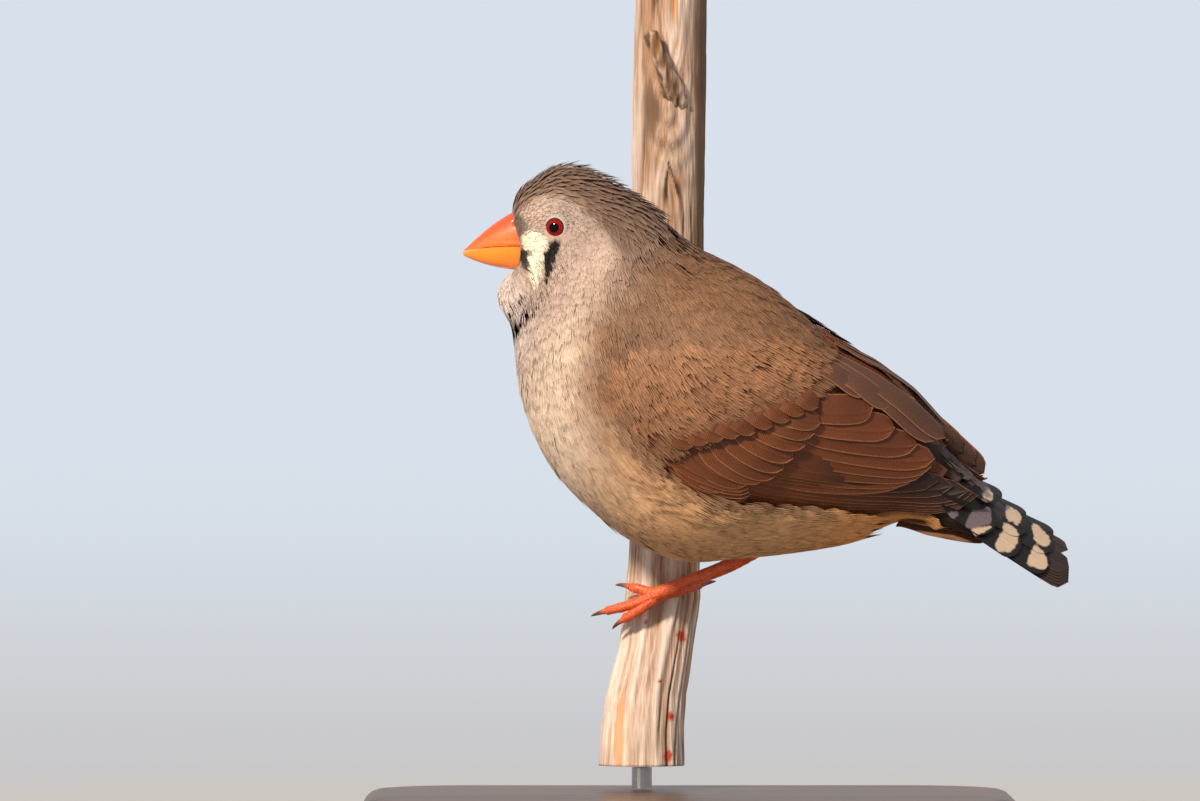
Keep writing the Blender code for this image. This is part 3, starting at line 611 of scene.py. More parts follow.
def inside(outline, x, z):
    """Distance inside an outline with rounded corners in millimetres, negative outside."""
    corners = np.array(outline)
    for _ in range(2):
        ahead = np.roll(corners, -1, axis=0)
        corners = np.stack([corners * 0.75 + ahead * 0.25, corners * 0.25 + ahead * 0.75],
                           axis=1)
        corners = corners.reshape(-1, 2)
    ends = np.roll(corners, -1, axis=0)
    best = np.full(np.shape(x), 1e9)
    odd = np.zeros(np.shape(x), bool)
    for (ax, az), (bx, bz) in zip(corners, ends):
        along = ((x - ax) * (bx - ax) + (z - az) * (bz - az)) / ((bx - ax) ** 2 + (bz - az) ** 2)
        along = np.clip(along, 0.0, 1.0)
        best = np.minimum(best, np.hypot(x - ax - along * (bx - ax), z - az - along * (bz - az)))
        crosses = (az > z) != (bz > z)
        level = np.where(crosses, (bx - ax) * (z - az) / ((bz - az) if bz != az else 1.0) + ax, 0.0)
        odd ^= crosses & (x < level)
    return np.where(odd, best, -best)


def plumage_colour(t, turn, spots):
    """Colour of the plumage at a place, the same for skin and feathers."""
    hues = bpy.context.scene.finch_plumage
    side = np.abs(turn)

    def over(colour, hue, mask):
        return colour * (1.0 - mask[..., None]) + np.array(hue) * mask[..., None]

    patchy = lumps(spots, 4.5, 3)
    side_at = side + 4.0 * patchy
    t_at = t + 0.25 * patchy
    colour = np.zeros(np.shape(t) + (3,)) + np.array(hues.mantle)
    colour = over(colour, hues.rump, band(t, 14.0, 16.5) * band(side, 45.0, 20.0))
    breast_edge = np.interp(t, BREAST_EDGE_RIBS, (58.0, 72.0, 86.0, 96.0, 100.0, 92.0))
    fore = band(side_at, breast_edge - 6.0, breast_edge + 34.0)
    colour = over(colour, hues.breast, fore)
    under = band(t_at, 9.6, 12.6) * band(side, breast_edge - 4.0, breast_edge + 8.0)
    colour = over(colour, hues.belly, under)
    keel = band(side, 138.0, 168.0) * band(t, 8.0, 10.5) * band(t, 14.5, 12.0)
    colour = over(colour, hues.breast, 0.45 * keel)
    vent = band(t, 14.4, 16.4) * band(side, 84.0, 100.0)
    colour = over(colour, hues.vent, 0.85 * vent)
    cheek = band(t_at, 8.2, 5.8) * band(side_at, 40.0, 66.0)
    colour = over(colour, hues.cheek, cheek)
    throat = band(t_at, 7.6, 5.0) * band(side, 118.0, 150.0)
    colour = over(colour, hues.throat, throat)
    crown = band(t_at, 8.4, 6.2) * band(side_at, 64.0, 44.0)
    colour = over(colour, hues.crown, crown)
    lore = band(t, 3.6, 2.6) * band(side, 62.0, 76.0) * band(side, 128.0, 112.0)
    colour = over(colour, hues.lore, lore)
    x, _, z = np.moveaxis(spots, -1, 0)
    flat = np.clip(band(side, 44.0, 56.0), 0.0, 1.0) * (t < 6.5)
    colour = over(colour, hues.cream, flat * band(inside(CREAM_STRIPE, x, z), -0.25, 0.2))
    colour = over(colour, hues.tear, flat * band(inside(TEAR_MARK, x, z), -0.22, 0.15))
    colour = over(colour, hues.tear, 0.95 * flat * band(inside(GAPE_MARK, x, z), -0.2, 0.2))
    colour = over(colour, hues.tear, 0.6 * flat * band(inside(LORE_MARK, x, z), -0.6, 0.3))
    tone = 1.0 + 0.10 * lumps(spots, 2.6, 5) + 0.07 * lumps(spots, 7.0, 9)
    return np.clip(colour * tone[..., None], 0.0, 1.0)


def in_wing(t, turn):
    """How far inside the folded wing's edges a place lies, in degrees."""
    side = np.abs(turn)
    top = np.interp(t, *zip(*WING_TOP))
    low = np.interp(t, *zip(*WING_LOW))
    depth = np.minimum(side - top, low - side)
    return np.where((t > 8.3) & (t < 19.0), depth, -90.0)


def eye_gap(t, turn):
    """Distance of a place on the head from the nearer eye's middle line."""
    spots = body_point(t, turn)
    x, y, z = np.moveaxis(spots, -1, 0)
    out = np.abs(y - BODY_Y) - EYE_OUT
    aim = np.array(EYE_AIM) / np.linalg.norm(EYE_AIM)
    away = np.stack([x - EYE_X, out, z - EYE_Z], axis=-1)
    past = away @ aim
    return np.linalg.norm(away - past[..., None] * aim, axis=-1)


def feed(tree, node, **inputs):
    """Set or link a node's inputs by name, an underscore standing for a space."""
    for key, value in inputs.items():
        socket = node.inputs[key.replace("_", " ")]
        if isinstance(value, bpy.types.NodeSocket):
            tree.links.new(value, socket)
        else:
            socket.default_value = value
    return node


def new_material(name, roughness, gloss):
    """A material with its node tree and its Principled shader."""
    material = bpy.data.materials.new(name)
    material.use_nodes = True
    tree = material.node_tree
    shader = tree.nodes["Principled BSDF"]
    feed(tree, shader, Roughness=roughness, Specular_IOR_Level=gloss, Metallic=0.0)
    return material, tree, shader


def add_node(tree, kind, **inputs):
    """A new node with some inputs set or linked."""
    return feed(tree, tree.nodes.new(kind), **inputs)


def calc(tree, operation, *values):
    """A Math node over sockets or numbers; its output socket."""
    node = tree.nodes.new("ShaderNodeMath")
    node.operation = operation
    for socket, value in zip(node.inputs, values):
        if isinstance(value, bpy.types.NodeSocket):
            tree.links.new(value, socket)
        else:
            socket.default_value = value
    return node.outputs[0]


def mixed(tree, share, first, second, blend="MIX"):
    """A colour Mix node over sockets or colours; its output socket."""
    node = tree.nodes.new("ShaderNodeMix")
    node.data_type = "RGBA"
    node.blend_type = blend
    for key, value in ((0, share), (6, first), (7, second)):
        if isinstance(value, bpy.types.NodeSocket):
            tree.links.new(value, node.inputs[key])
        else:
            node.inputs[key].default_value = (*value, 1.0) if key else value
    return node.outputs[2]


def toned(tree, colour, tone):
    """A colour made lighter or darker by a value."""
    grey = tree.nodes.new("ShaderNodeCombineColor")
    for channel in range(3):
        tree.links.new(tone, grey.inputs[channel])
    return mixed(tree, 1.0, colour, grey.outputs[0], "MULTIPLY")


def painted(tree, name):
    """The colour kept on the mesh's points."""
    node = tree.nodes.new("ShaderNodeAttribute")
    node.attribute_name = name
    return node.outputs["Color"]


def uv_map(tree, name):
    """One of the mesh's UV maps."""
    node = tree.nodes.new("ShaderNodeUVMap")
    node.uv_map = name
    return node.outputs["UV"]


def place_on(tree, stretch=None):
    """The piece's own coordinates, scaled along each axis if asked."""
    place = tree.nodes.new("ShaderNodeTexCoord").outputs["Object"]
    if stretch is None:
        return place
    return add_node(tree, "ShaderNodeMapping", Vector=place, Scale=stretch).outputs[0]


def noise(tree, vector, scale, detail=2.0, distortion=0.0):
    """Noise over a vector; its output socket."""
    node = add_node(tree, "ShaderNodeTexNoise", Vector=vector, Scale=scale, Detail=detail,
                    Distortion=distortion)
    return node.outputs[0]


def soft_step(tree, value, start, end, most=1.0):
    """A value that passes softly from 0 at start to its most at end."""
    node = tree.nodes.new("ShaderNodeMapRange")
    node.interpolation_type = "SMOOTHSTEP"
    return feed(tree, node, Value=value, From_Min=start, From_Max=end, To_Max=most).outputs[0]


def ramp(tree, value, *stops):
    """A colour that passes between two stops, each a place and a colour."""
    node = tree.nodes.new("ShaderNodeValToRGB")
    for element, (place, colour) in zip(node.color_ramp.elements, stops):
        element.position = place
        element.color = (*colour, 1.0)
    tree.links.new(value, node.inputs[0])
    return node.outputs[0]


def emboss(tree, shader, height, strength, distance):
    """Fine relief on a shader; the Bump node."""
    relief = add_node(tree, "ShaderNodeBump", Height=height, Strength=strength,
                      Distance=distance)
    feed(tree, shader, Normal=relief.outputs["Normal"])
    return relief


def scaled(hue, *shares):
    """A colour with its channels multiplied, all alike or each by its own share."""
    return tuple(value * share for value, share in zip(hue, shares * (3 // len(shares))))


def start_group(name, inputs, outputs):
    """A shader node group with named inputs (with defaults) and outputs."""
    group = bpy.data.node_groups.new(name, "ShaderNodeTree")
    for label, kind, default in inputs:
        socket = group.interface.new_socket(label, in_out="INPUT", socket_type=kind)
        if default is not None:
            socket.default_value = default
    for label, kind in outputs:
        group.interface.new_socket(label, in_out="OUTPUT", socket_type=kind)
    return group, group.nodes.new("NodeGroupInput"), group.nodes.new("NodeGroupOutput")


def barb_group():
    """Fine lines that leave a feather's shaft slantwise, from its own UV map in mm."""
    known = bpy.data.node_groups.get("feather_barbs")
    if known:
        return known
    group, given, result = start_group(
        "feather_barbs",
        [("Vane", "NodeSocketVector", None), ("Spacing", "NodeSocketFloat", 0.33),
         ("Slant", "NodeSocketFloat", 0.45), ("Waver", "NodeSocketFloat", 0.35)],
        [("Lines", "NodeSocketFloat"), ("Height", "NodeSocketFloat")])
    vane = given.outputs["Vane"]
    split = add_node(group, "ShaderNodeSeparateXYZ", Vector=vane)
    wave = noise(group, vane, 1.4)
    across = calc(group, "ABSOLUTE", split.outputs["X"])
    lean = calc(group, "MULTIPLY", split.outputs["Y"], given.outputs["Slant"])
    reach = calc(group, "SUBTRACT", across, lean)
    shift = calc(group, "MULTIPLY", wave, given.outputs["Waver"])
    turns = calc(group, "DIVIDE", calc(group, "ADD", reach, shift), given.outputs["Spacing"])
    swing = calc(group, "SINE", calc(group, "MULTIPLY", turns, 2.0 * math.pi))
    height = calc(group, "MULTIPLY_ADD", swing, 0.5, 0.5)
    # Lines is strongest where the height is low, in the hollows between barbs; the materials darken the
    # colour there as painted shade.
    lines = calc(group, "SMOOTH_MIN", height, 0.75, 0.4)
    feed(group, result, Lines=calc(group, "SUBTRACT", 1.0, lines), Height=height)
    return group


def feather_material(name, spacing, slant, groove_shade, roughness=0.62, relief=0.35):
    """Plumage: the painted colour, fine barb lines with painted shade in the hollows between barbs, and
    a little mottling.
    """
    material, tree, shader = new_material(name, roughness, 0.25)
    barbs = tree.nodes.new("ShaderNodeGroup")
    barbs.node_tree = barb_group()
    feed(tree, barbs, Spacing=spacing, Slant=slant, Vane=uv_map(tree, "vane"))
    fleck = noise(tree, place_on(tree), 2600.0, 3.0)
    # Painted shade: the colour is darkened along the barb lines, in the hollows between the barbs.
    dark = calc(tree, "MULTIPLY", barbs.outputs["Lines"], groove_shade)
    light = calc(tree, "MULTIPLY_ADD", fleck, 0.34, 0.84)
    tone = calc(tree, "MULTIPLY", calc(tree, "SUBTRACT", 1.0, dark), light)
    feed(tree, shader, Base_Color=toned(tree, painted(tree, "plumage"), tone))
    emboss(tree, shader, barbs.outputs["Height"], relief, 0.00006)
    return material


def skin_material():
    """The skin under the coat: the coat's own colours, darker, with a downy mottle."""
    material, tree, shader = new_material("skin_down", 0.85, 0.15)
    down = noise(tree, place_on(tree), 1500.0, 4.0)
    tone = calc(tree, "MULTIPLY_ADD", down, 0.3, 0.68)
    feed(tree, shader, Base_Color=toned(tree, painted(tree, "plumage"), tone))
    emboss(tree, shader, down, 0.6, 0.0002)
    return material


class FINCH_OT_skin(bpy.types.Operator):
    """Lay one closed skin under the plumage, from the bill's root to the rump."""

    bl_idname = "finch.skin"
    bl_label = "Skin"

    def execute(self, context):
        depth = context.scene.finch_plumage.depth / MM
        rows, around = 190, 132
        t = np.linspace(0.02, 17.8, rows)[:, None]
        turn = np.linspace(-180.0, 180.0, around, endpoint=False)[None, :]
        bed = band(in_wing(t, turn), -1.0, 5.0) * band(t, 8.2, 9.0)
        out = -depth - (2.3 - depth) * bed - 0.5 * band(t, 16.6, 17.8)
        out = out - 0.25 * band(t, 1.2, 0.0)
        out = out - 3.2 * band(np.abs(turn), 95.0, 150.0) * band(t, 16.0, 17.8)
        grid = body_point(t, turn, out)
        spots = body_point(t, turn)
        colour = plumage_colour(np.broadcast_to(t, spots.shape[:2]),
                                np.broadcast_to(turn, spots.shape[:2]), spots)
        skin = make_piece("skin", with_ends(grid), ring_faces(rows, around), skin_material())
        face_outward(skin.data)
        paint_points(skin.data, "plumage", with_ends(colour))
        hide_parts("head", "neck", "torso")
        return {"FINISHED"}


# Coat regions: ribs from and to, degrees from and to, gap between roots, feather length
# and half width at the first and last rib, kind of feather, lift of the tips, swing.
COAT = {
    "coat_crown": ((0.12, 6.4), (-70.0, 70.0), 0.66, (1.7, 3.0), (0.32, 0.50), "lance", 1.05, 2.0),
    "coat_face": ((0.05, 6.6), (46.0, 132.0), 0.38, (1.0, 2.2), (0.20, 0.40), "short", 0.0, 9.0),
    "coat_throat": ((0.0, 6.6), (118.0, 242.0), 0.44, (1.5, 2.6), (0.24, 0.46), "short", 0.03, 0.0),
    "coat_mantle": ((6.0, 12.6), (-106.0, 106.0), 1.05, (3.4, 4.8), (0.95, 1.25), "comb", 0.0, 6.0),
    "coat_breast": ((6.0, 11.2), (60.0, 300.0), 0.74, (3.0, 4.6), (0.50, 0.85), "wisp", 0.0, 2.0),
    "coat_belly": ((10.6, 16.1), (84.0, 276.0), 0.86, (4.6, 5.2), (0.85, 0.95), "wisp", 0.0, -2.0),
    "coat_rump": ((12.2, 17.9), (-108.0, 108.0), 1.0, (4.0, 3.4), (1.15, 1.0), "comb", -0.02, 0.0),
}
SHAPES = {
    "lance": dict(barbs=3, spread=0.45, blunt=0.35, gather=0.10, widest=0.50, fat=1.2),
    "short": dict(barbs=4, spread=0.60, blunt=0.30, gather=1.0, fat=1.0),
    "wisp": dict(barbs=5, spread=0.75, blunt=0.35, gather=1.0, widest=0.60, fat=1.15),
    "comb": dict(barbs=7, spread=0.75, blunt=0.30, gather=0.98, widest=0.76, fat=1.1),
}


def region_of(t, turn):
    """Number of the coat region that a place belongs to, with ragged borders."""
    side = np.abs(turn)
    spots = body_point(t, turn)
    ragged = lumps(spots, 1.6, 21)
    t_at = t + 0.22 * ragged
    side_at = side + 4.0 * ragged
    breast_edge = np.interp(t, BREAST_EDGE_RIBS, (66.0, 80.0, 90.0, 98.0, 100.0, 94.0))
    region = np.where(side_at < 56.0, 0, np.where(side_at < 126.0, 1, 2))
    back = np.where(side_at < breast_edge, np.where(t_at < 12.4, 3, 6),
                    np.where(t_at < 10.9, 4, 5))
    return np.where(t_at < 6.3, region, back)


class FINCH_OT_coat(bpy.types.Operator):
    """Lay the small body feathers, region by region, over the skin."""

    bl_idname = "finch.coat"
    bl_label = "Body Feathers"

    def execute(self, context):
        plumage = context.scene.finch_plumage
        barb = plumage.barb / MM
        finishes = {
            "lance": feather_material("crown_feathers", barb * 0.7, 0.3, 0.10, 0.7),
            "short": feather_material("face_feathers", barb * 0.7, 0.2, 0.10, 0.75),
            "wisp": feather_material("breast_feathers", barb, 0.12, 0.14, 0.75),
            "comb": feather_material("back_feathers", barb, 0.12, 0.45, 0.62),
        }
        for number, (name, row) in enumerate(COAT.items()):
            ribs, turns, gap, longs, wides, kind, lift, swing = row
            slot = "head_feathers" if number < 3 else "body_feathers"

            def keep(t, turn, number=number):
                wrapped = (turn + 180.0) % 360.0 - 180.0
                chosen = region_of(t, wrapped) == number
                chosen &= in_wing(t, wrapped) < np.where(np.abs(wrapped) > 90.0, 7.0, 4.0)
                chosen &= (t > 6.5) | (eye_gap(t, wrapped) > 2.0)
                return chosen

            sides = [turns]
            if number == 1:
                sides = [turns, (-turns[1], -turns[0])]
            found = [scatter(ribs, span, gap * plumage.closeness, plumage.seed + number, keep)
                     for span in sides]
            t = np.concatenate([part[0] for part in found])
            turn = np.concatenate([part[1] for part in found])
            turn = (turn + 180.0) % 360.0 - 180.0
            self.lay(name, t, turn, ribs, longs, wides, lift, swing, kind, finishes[kind], slot,
                     plumage, number)
        return {"FINISHED"}

    def lay(self, name, t, turn, ribs, longs, wides, lift, swing, kind, finish, slot, plumage,
            number):
        """Size, tilt and colour the feathers of one region and lay them."""
        rng = np.random.default_rng(plumage.seed * 31 + number)
        count = len(t)
        where = (t - ribs[0]) / (ribs[1] - ribs[0])
        long_ = np.interp(where, (0, 1), longs) * plumage.size * rng.uniform(0.82, 1.18, count)
        wide = np.interp(where, (0, 1), wides) * plumage.size * rng.uniform(0.85, 1.15, count)
        near_eye = band(eye_gap(t, turn), 4.5, 2.0) * (t < 6.5)
        long_ = long_ * (1.0 - 0.45 * near_eye)
        wide = wide * (1.0 - 0.35 * near_eye)
        spots = body_point(t, turn)
        t_tip = t + 0.6 * long_ / np.linalg.norm(tangents(body_point, t, turn)[0], axis=-1)
        colour = plumage_colour(t_tip, turn, body_point(t_tip, turn))
        colour = colour * rng.uniform(0.88, 1.10, (count, 1))
        clumps = lumps(spots, 2.2, 40 + number)
        tip = lift * (0.35 + 0.65 * np.clip(0.5 + 0.6 * clumps, 0.0, 1.3))
        tip = tip + rng.uniform(-0.07, 0.0, count)
        stray = rng.uniform(0.0, 1.0, count) < 0.05
        tip = tip + 0.22 * stray * (number != 1)
        root = np.full(count, 0.02 - plumage.depth / MM)
        beside = band(in_wing(t, turn), -10.0, -1.0) * band(t, 9.4, 11.0) * (np.abs(turn) > 90.0)
        tip = tip + 0.8 * beside
        root = root + 0.5 * beside
        if name == "coat_crown":
            tip = tip * (0.45 + 0.55 * band(t, 0.3, 1.6)) * (1.0 - 0.8 * near_eye)
            tip = tip * (1.0 - 0.92 * band(np.abs(turn), 26.0, 58.0))
        look = {
            "seed": plumage.seed * 17 + number,
            "long": long_,
            "wide": wide,
            "swing": swing + 7.0 * clumps + rng.normal(0.0, 2.5, count),
            "root_depth": root,
            "tip_depth": tip,
            "colour": colour,
            # Painted shade at the quill ends; the crown's pointed feathers get more, as shade in the
            # gaps between them.
            "dark": 0.50 if kind == "lance" else 0.90,
            "fade": (0.35, 0.95) if kind == "lance" else (0.0, 0.8),
            "streak": 0.05 if kind == "lance" else 0.08,
            "lean": 0.30 if kind == "lance" else 0.14,
        }
        lay_tufts(name, t, turn, look, tuft_shape(**SHAPES[kind]), finish)


# Wing feathers as the camera sees them: name, count, line of roots, line of tips (x, z on
# the bird's middle plane), half width, sag of the middle, shaft's place across the vane,
# depth of root and tip, rise per feather, colour, how round the tip is. Lowest tier first.
WING_ROWS = [
    ("primary", 9, [(-5.8, 56.4), (1.5, 60.5)],
     [(41.2, 52.1), (41.9, 52.6), (40.5, 53.2), (36.0, 54.6), (29.5, 55.3)],
     2.3, (2.9, 0.9), 0.45, -1.30, -0.62, 0.045, "quill", 0.20),
    ("secondary", 8, [(6.5, 57.3), (14.5, 66.5)],
     [(31.5, 54.9), (33.6, 55.6), (35.0, 56.5), (35.7, 58.1), (31.0, 61.2), (26.5, 65.2)],
     2.3, (1.5, 0.8), 0.35, -1.20, -0.28, 0.045, "quill", 0.22),
    ("tertial", 4, [(14.0, 74.5), (20.5, 74.0)],
     [(25.6, 67.0), (29.0, 65.2), (35.4, 60.2), (37.0, 60.6)],
     1.75, (-0.4, -0.4), 0.05, -1.00, 0.02, 0.06, "inner", 0.22),
    ("primary_covert", 7, [(-10.9, 58.8), (-6.0, 60.4)],
     [(5.4, 52.0), (8.0, 51.6), (8.6, 52.4), (8.4, 53.4)],
     1.5, (1.5, 1.0), 0.35, -1.10, -0.34, 0.04, "quill", 0.30),
    ("greater_covert", 9, [(-3.2, 59.5), (10.5, 66.0)],
     [(5.5, 53.5), (10.0, 54.4), (12.6, 55.2), (14.6, 57.4), (17.5, 60.5), (19.0, 63.0)],
     1.75, (1.2, 0.5), 0.20, -1.00, -0.12, 0.03, "covert", 0.34),
    ("median_covert", 9, [(-4.0, 62.5), (14.5, 69.0)],
     [(0.8, 60.2), (5.0, 60.9), (9.5, 61.6), (14.5, 63.4), (18.6, 65.2)],
     1.55, (0.5, 0.3), 0.10, -0.80, 0.06, 0.03, "covert", 0.42),
]
# How much narrower the pale fringe is on some rows.
THIN_FRINGE = {"median_covert": 3.0, "primary_covert": 1.6, "primary": 2.4}
# Lower border of the small shoulder feathers: degrees from the back, then ribs.
LESSER_EDGE = ((18, 30, 40, 55, 70, 85, 102), (12.5, 12.8, 12.6, 12.1, 11.7, 11.3, 11.0))


# Quills of the far wing that show above the rump: root, tip (x, z) and how far out.
FAR_TIPS = [((21.5, 73.8), (34.2, 64.0), -0.2), ((30.0, 66.0), (42.9, 55.6), -0.4),
            ((29.0, 66.8), (41.5, 56.9), -0.9), ((28.0, 67.6), (39.6, 58.8), -1.4)]


class WingMap:
    """Finds the rib and angle of a place on the left wing from where it is seen."""

    def __init__(self):
        t, turn = np.meshgrid(np.linspace(7.6, 18.98, 420), np.linspace(-4.0, 124.0, 420))
        self.t, self.turn = t.ravel(), turn.ravel()
        normal = tangents(wing_point, self.t, self.turn)[2]
        x, z = seen_at(wing_point(self.t, self.turn))
        near = np.flatnonzero(normal[:, 1] < -0.02)
        self.tree = kdtree.KDTree(len(near))
        for i in near.tolist():
            self.tree.insert((x[i], z[i], 0.0), i)
        self.tree.balance()

    def find(self, x, z):
        """Rib numbers and angles of seen places."""
        found = [self.tree.find((a, b, 0.0))[1] for a, b in zip(x.tolist(), z.tolist())]
        t, turn = self.t[found], self.turn[found]
        for _ in range(3):
            here_x, here_z = seen_at(wing_point(t, turn))
            rib_x, rib_z = seen_at(wing_point(t + 0.01, turn))
            turn_x, turn_z = seen_at(wing_point(t, turn + 0.1))
            a, b = (rib_x - here_x) / 0.01, (turn_x - here_x) / 0.1
            c, d = (rib_z - here_z) / 0.01, (turn_z - here_z) / 0.1
            det = a * d - b * c
            det = np.where(np.abs(det) < 1e-4, 1e-4, det)
            off_x, off_z = x - here_x, z - here_z
            t = np.clip(t + np.clip((d * off_x - b * off_z) / det, -0.1, 0.1), 7.6, 18.98)
            turn = turn + np.clip((a * off_z - c * off_x) / det, -2.0, 2.0)
        return t, turn


def along_line(line, count):
    """Evenly numbered places along a broken line."""
    line = np.array(line, float)
    at = np.linspace(0, len(line) - 1, count)
    return np.stack([np.interp(at, range(len(line)), line[:, k]) for k in (0, 1)], axis=-1)


def vane_columns(shaft):
    """Places across a vane, closer together at the edges and at the shaft."""
    across = [-1.0, -0.9, -0.62, -0.3, 0.0, 0.3, 0.62, 0.9, 1.0]
    across = [a for a in across if abs(a - shaft) > 0.09]
    return np.array(sorted(across + [shaft - 0.06, shaft, shaft + 0.06]))


def vane_width(u, tip_round):
    """Share of a vane's full half width along it, narrow at the quill, round at the tip."""
    grow = np.minimum(1.0, 0.42 + 1.7 * u)
    into = np.clip((u - (1.0 - tip_round)) / tip_round, 0.0, 1.0)
    return grow * np.sqrt(np.maximum(1.0 - into ** 2.2, 0.0004))


def close_vanes(name, vanes, finish):
    """Join vanes, each given as top and underside grids, into one piece."""
    points, faces, colours = [], [], []
    maps = {"vane": [], "rim": [], "OFBake": []}
    side = math.ceil(math.sqrt(len(vanes)))
    for number, vane in enumerate(vanes):
        rows, cols = vane["top"].shape[:2]
        start = sum(len(p) for p in points)
        points += [vane["top"].reshape(-1, 3), vane["under"].reshape(-1, 3)]
        flip = vane["flip"]

        def add(*face, flip=flip, start=start):
            shifted = [start + k for k in face]
            faces.append(tuple(shifted[::-1] if flip else shifted))

        n = rows * cols
        for r in range(rows - 1):
            for k in range(cols - 1):
                a = r * cols + k
                add(a, a + 1, a + cols + 1, a + cols)
                add(n + a, n + a + cols, n + a + cols + 1, n + a + 1)
        rim = list(range(cols))
        rim += [r * cols + cols - 1 for r in range(1, rows)]
        rim += [(rows - 1) * cols + k for k in range(cols - 2, -1, -1)]
        rim += [r * cols for r in range(rows - 2, 0, -1)]
        for a, b in zip(rim, rim[1:] + rim[:1]):
            add(b, a, n + a, n + b)
        cell = np.array([number % side, number // side])
        place = (cell + 0.06 + 0.88 * vane["share"]) / side
        for _ in range(2):
            maps["vane"].append(vane["vane"].reshape(-1, 2))
            maps["rim"].append(vane["rim"].reshape(-1, 2))
            maps["OFBake"].append(place.reshape(-1, 2))
            colours.append(vane["colour"].reshape(-1, 3))
    piece = make_piece(name, np.concatenate(points), faces, finish)
    paint_maps(piece.data, {name: np.concatenate(values) for name, values in maps.items()})
    paint_points(piece.data, "plumage", np.concatenate(colours))
    piece.data.set_sharp_from_angle(angle=math.radians(50.0))
    return piece


def vane_maps(width, v, shaft, whole, u):
    """A vane's place across and along, in millimetres from its shaft and from its rim."""
    return {"share": pair((v + 1.0) / 2.0, u), "vane": pair(width * (v - shaft), whole * u),
            "rim": pair(width * (1.0 - np.abs(v)), whole * (1.0 - u))}


def wing_vane(finder, root, tip, sign, row, number, rng, hues, thick):
    """One wing feather laid on the folded wing."""
    _, _, _, _, half, sag, shaft, deep_root, deep_tip, step, tint, tip_round = row
    rows = 22
    u = np.linspace(0.0, 1.0, rows)
    chord = tip - root
    across = np.array([chord[1], -chord[0]]) / np.linalg.norm(chord)
    down = across if across[1] < 0 else -across
    count = row[1]
    bend = sag[0] + (sag[1] - sag[0]) * number / max(count - 1, 1)
    seen = root + chord * u[:, None] + down * (bend * np.sin(np.pi * u ** 0.9))[:, None]
    t, turn = finder.find(seen[:, 0], seen[:, 1])
    per_rib, per_degree, normal = tangents(wing_point, t, sign * turn)
    ahead = np.gradient(wing_point(t, sign * turn), axis=0)
    lateral = np.cross(normal, ahead)
    lateral /= np.linalg.norm(lateral, axis=-1, keepdims=True)
    toward = np.sum(lateral * per_degree, axis=-1, keepdims=True) * sign
    flipped = bool(np.mean(toward) < 0)
    lateral *= np.where(toward < 0, -1.0, 1.0)
    v = vane_columns(shaft)
    width = half * vane_width(u, tip_round)
    move = lateral[:, None, :] * (width[:, None] * v[None, :])[..., None]
    dt, dturn = steps_for(per_rib[:, None], per_degree[:, None], move)
    deep = deep_root + (deep_tip + step * number - deep_root) * np.minimum(1.0, 1.6 * u)
    deep = deep[:, None] + 0.22 * v[None, :] * np.minimum(1.0, 2.0 * u)[:, None]
    ridge = 0.06 * np.exp(-((v - shaft) / 0.05) ** 2)[None, :]
    ripple = 0.03 * np.sin(v * 9.0 + number)[None, :] * u[:, None]
    at_t, at_turn = t[:, None] + dt, sign * turn[:, None] + dturn
    top = wing_point(at_t, at_turn, deep + ridge + ripple)
    under = wing_point(at_t, at_turn, deep - thick * (1.0 - 0.55 * v[None, :] ** 4))
    whole = np.linalg.norm(np.diff(wing_point(t, sign * turn), axis=0), axis=-1).sum()
    vane = vane_maps(width[:, None], v[None, :], shaft, whole, u[:, None])
    vane["rim"] = vane["rim"] * THIN_FRINGE.get(row[0], 1.0)
    base = np.array(getattr(hues, tint)) * rng.uniform(0.90, 1.12)
    far = np.array(hues.tip) if row[0] == "primary" else base * 0.92
    mix = band(u, 0.45, 0.95)[:, None, None]
    colour = base * (1.0 - mix) + far * mix
    lower = band(v, -0.2, 0.8)[None, :, None]
    colour = colour * (0.92 + 0.14 * lower)
    colour = np.broadcast_to(colour, (rows, len(v), 3))
    vane.update(top=top, under=under, flip=flipped == (sign > 0), colour=colour)
    return vane


def wing_core(name, sign, finish):
    """The folded wing's inside, which carries the roots of its feathers."""
    rows, cols = 40, 18
    ribs = np.linspace(8.9, 17.2, rows)
    top = (np.interp(ribs, *zip(*WING_TOP)) + 34.0 * band(ribs, 14.0, 16.4))[:, None]
    low = np.interp(ribs, *zip(*WING_LOW))[:, None] - 6.0
    share = np.linspace(0.0, 1.0, cols)[None, :]
    turn = sign * (top + (low - top) * share)
    t = np.broadcast_to(ribs[:, None], turn.shape)
    edge = 0.30 * np.abs(share * 2.0 - 1.0) ** 3
    coverts = 0.70 * band(t, 13.2, 11.0)
    outer = wing_point(t, turn, -1.02 + coverts - edge)
    inner = wing_point(t, turn, -2.0 + 0.5 * band(t, 14.5, 17.5))
    # Painted shade: the inside is coloured a darker copy of the coverts' brown, as a covert in shadow,
    # where it shows between the feathers.
    colour = np.broadcast_to(np.array(lit(92, 48, 26)), t.shape + (3,))
    vane = {"top": outer, "under": inner, "flip": sign > 0, "share": pair(share, (t - 8.9) / 8.7),
            "vane": pair(share * 12.0, (t - 8.0) * 5.0),
            "rim": np.ones(t.shape + (2,)) * 5.0, "colour": colour}
    return close_vanes(name, [vane], finish)


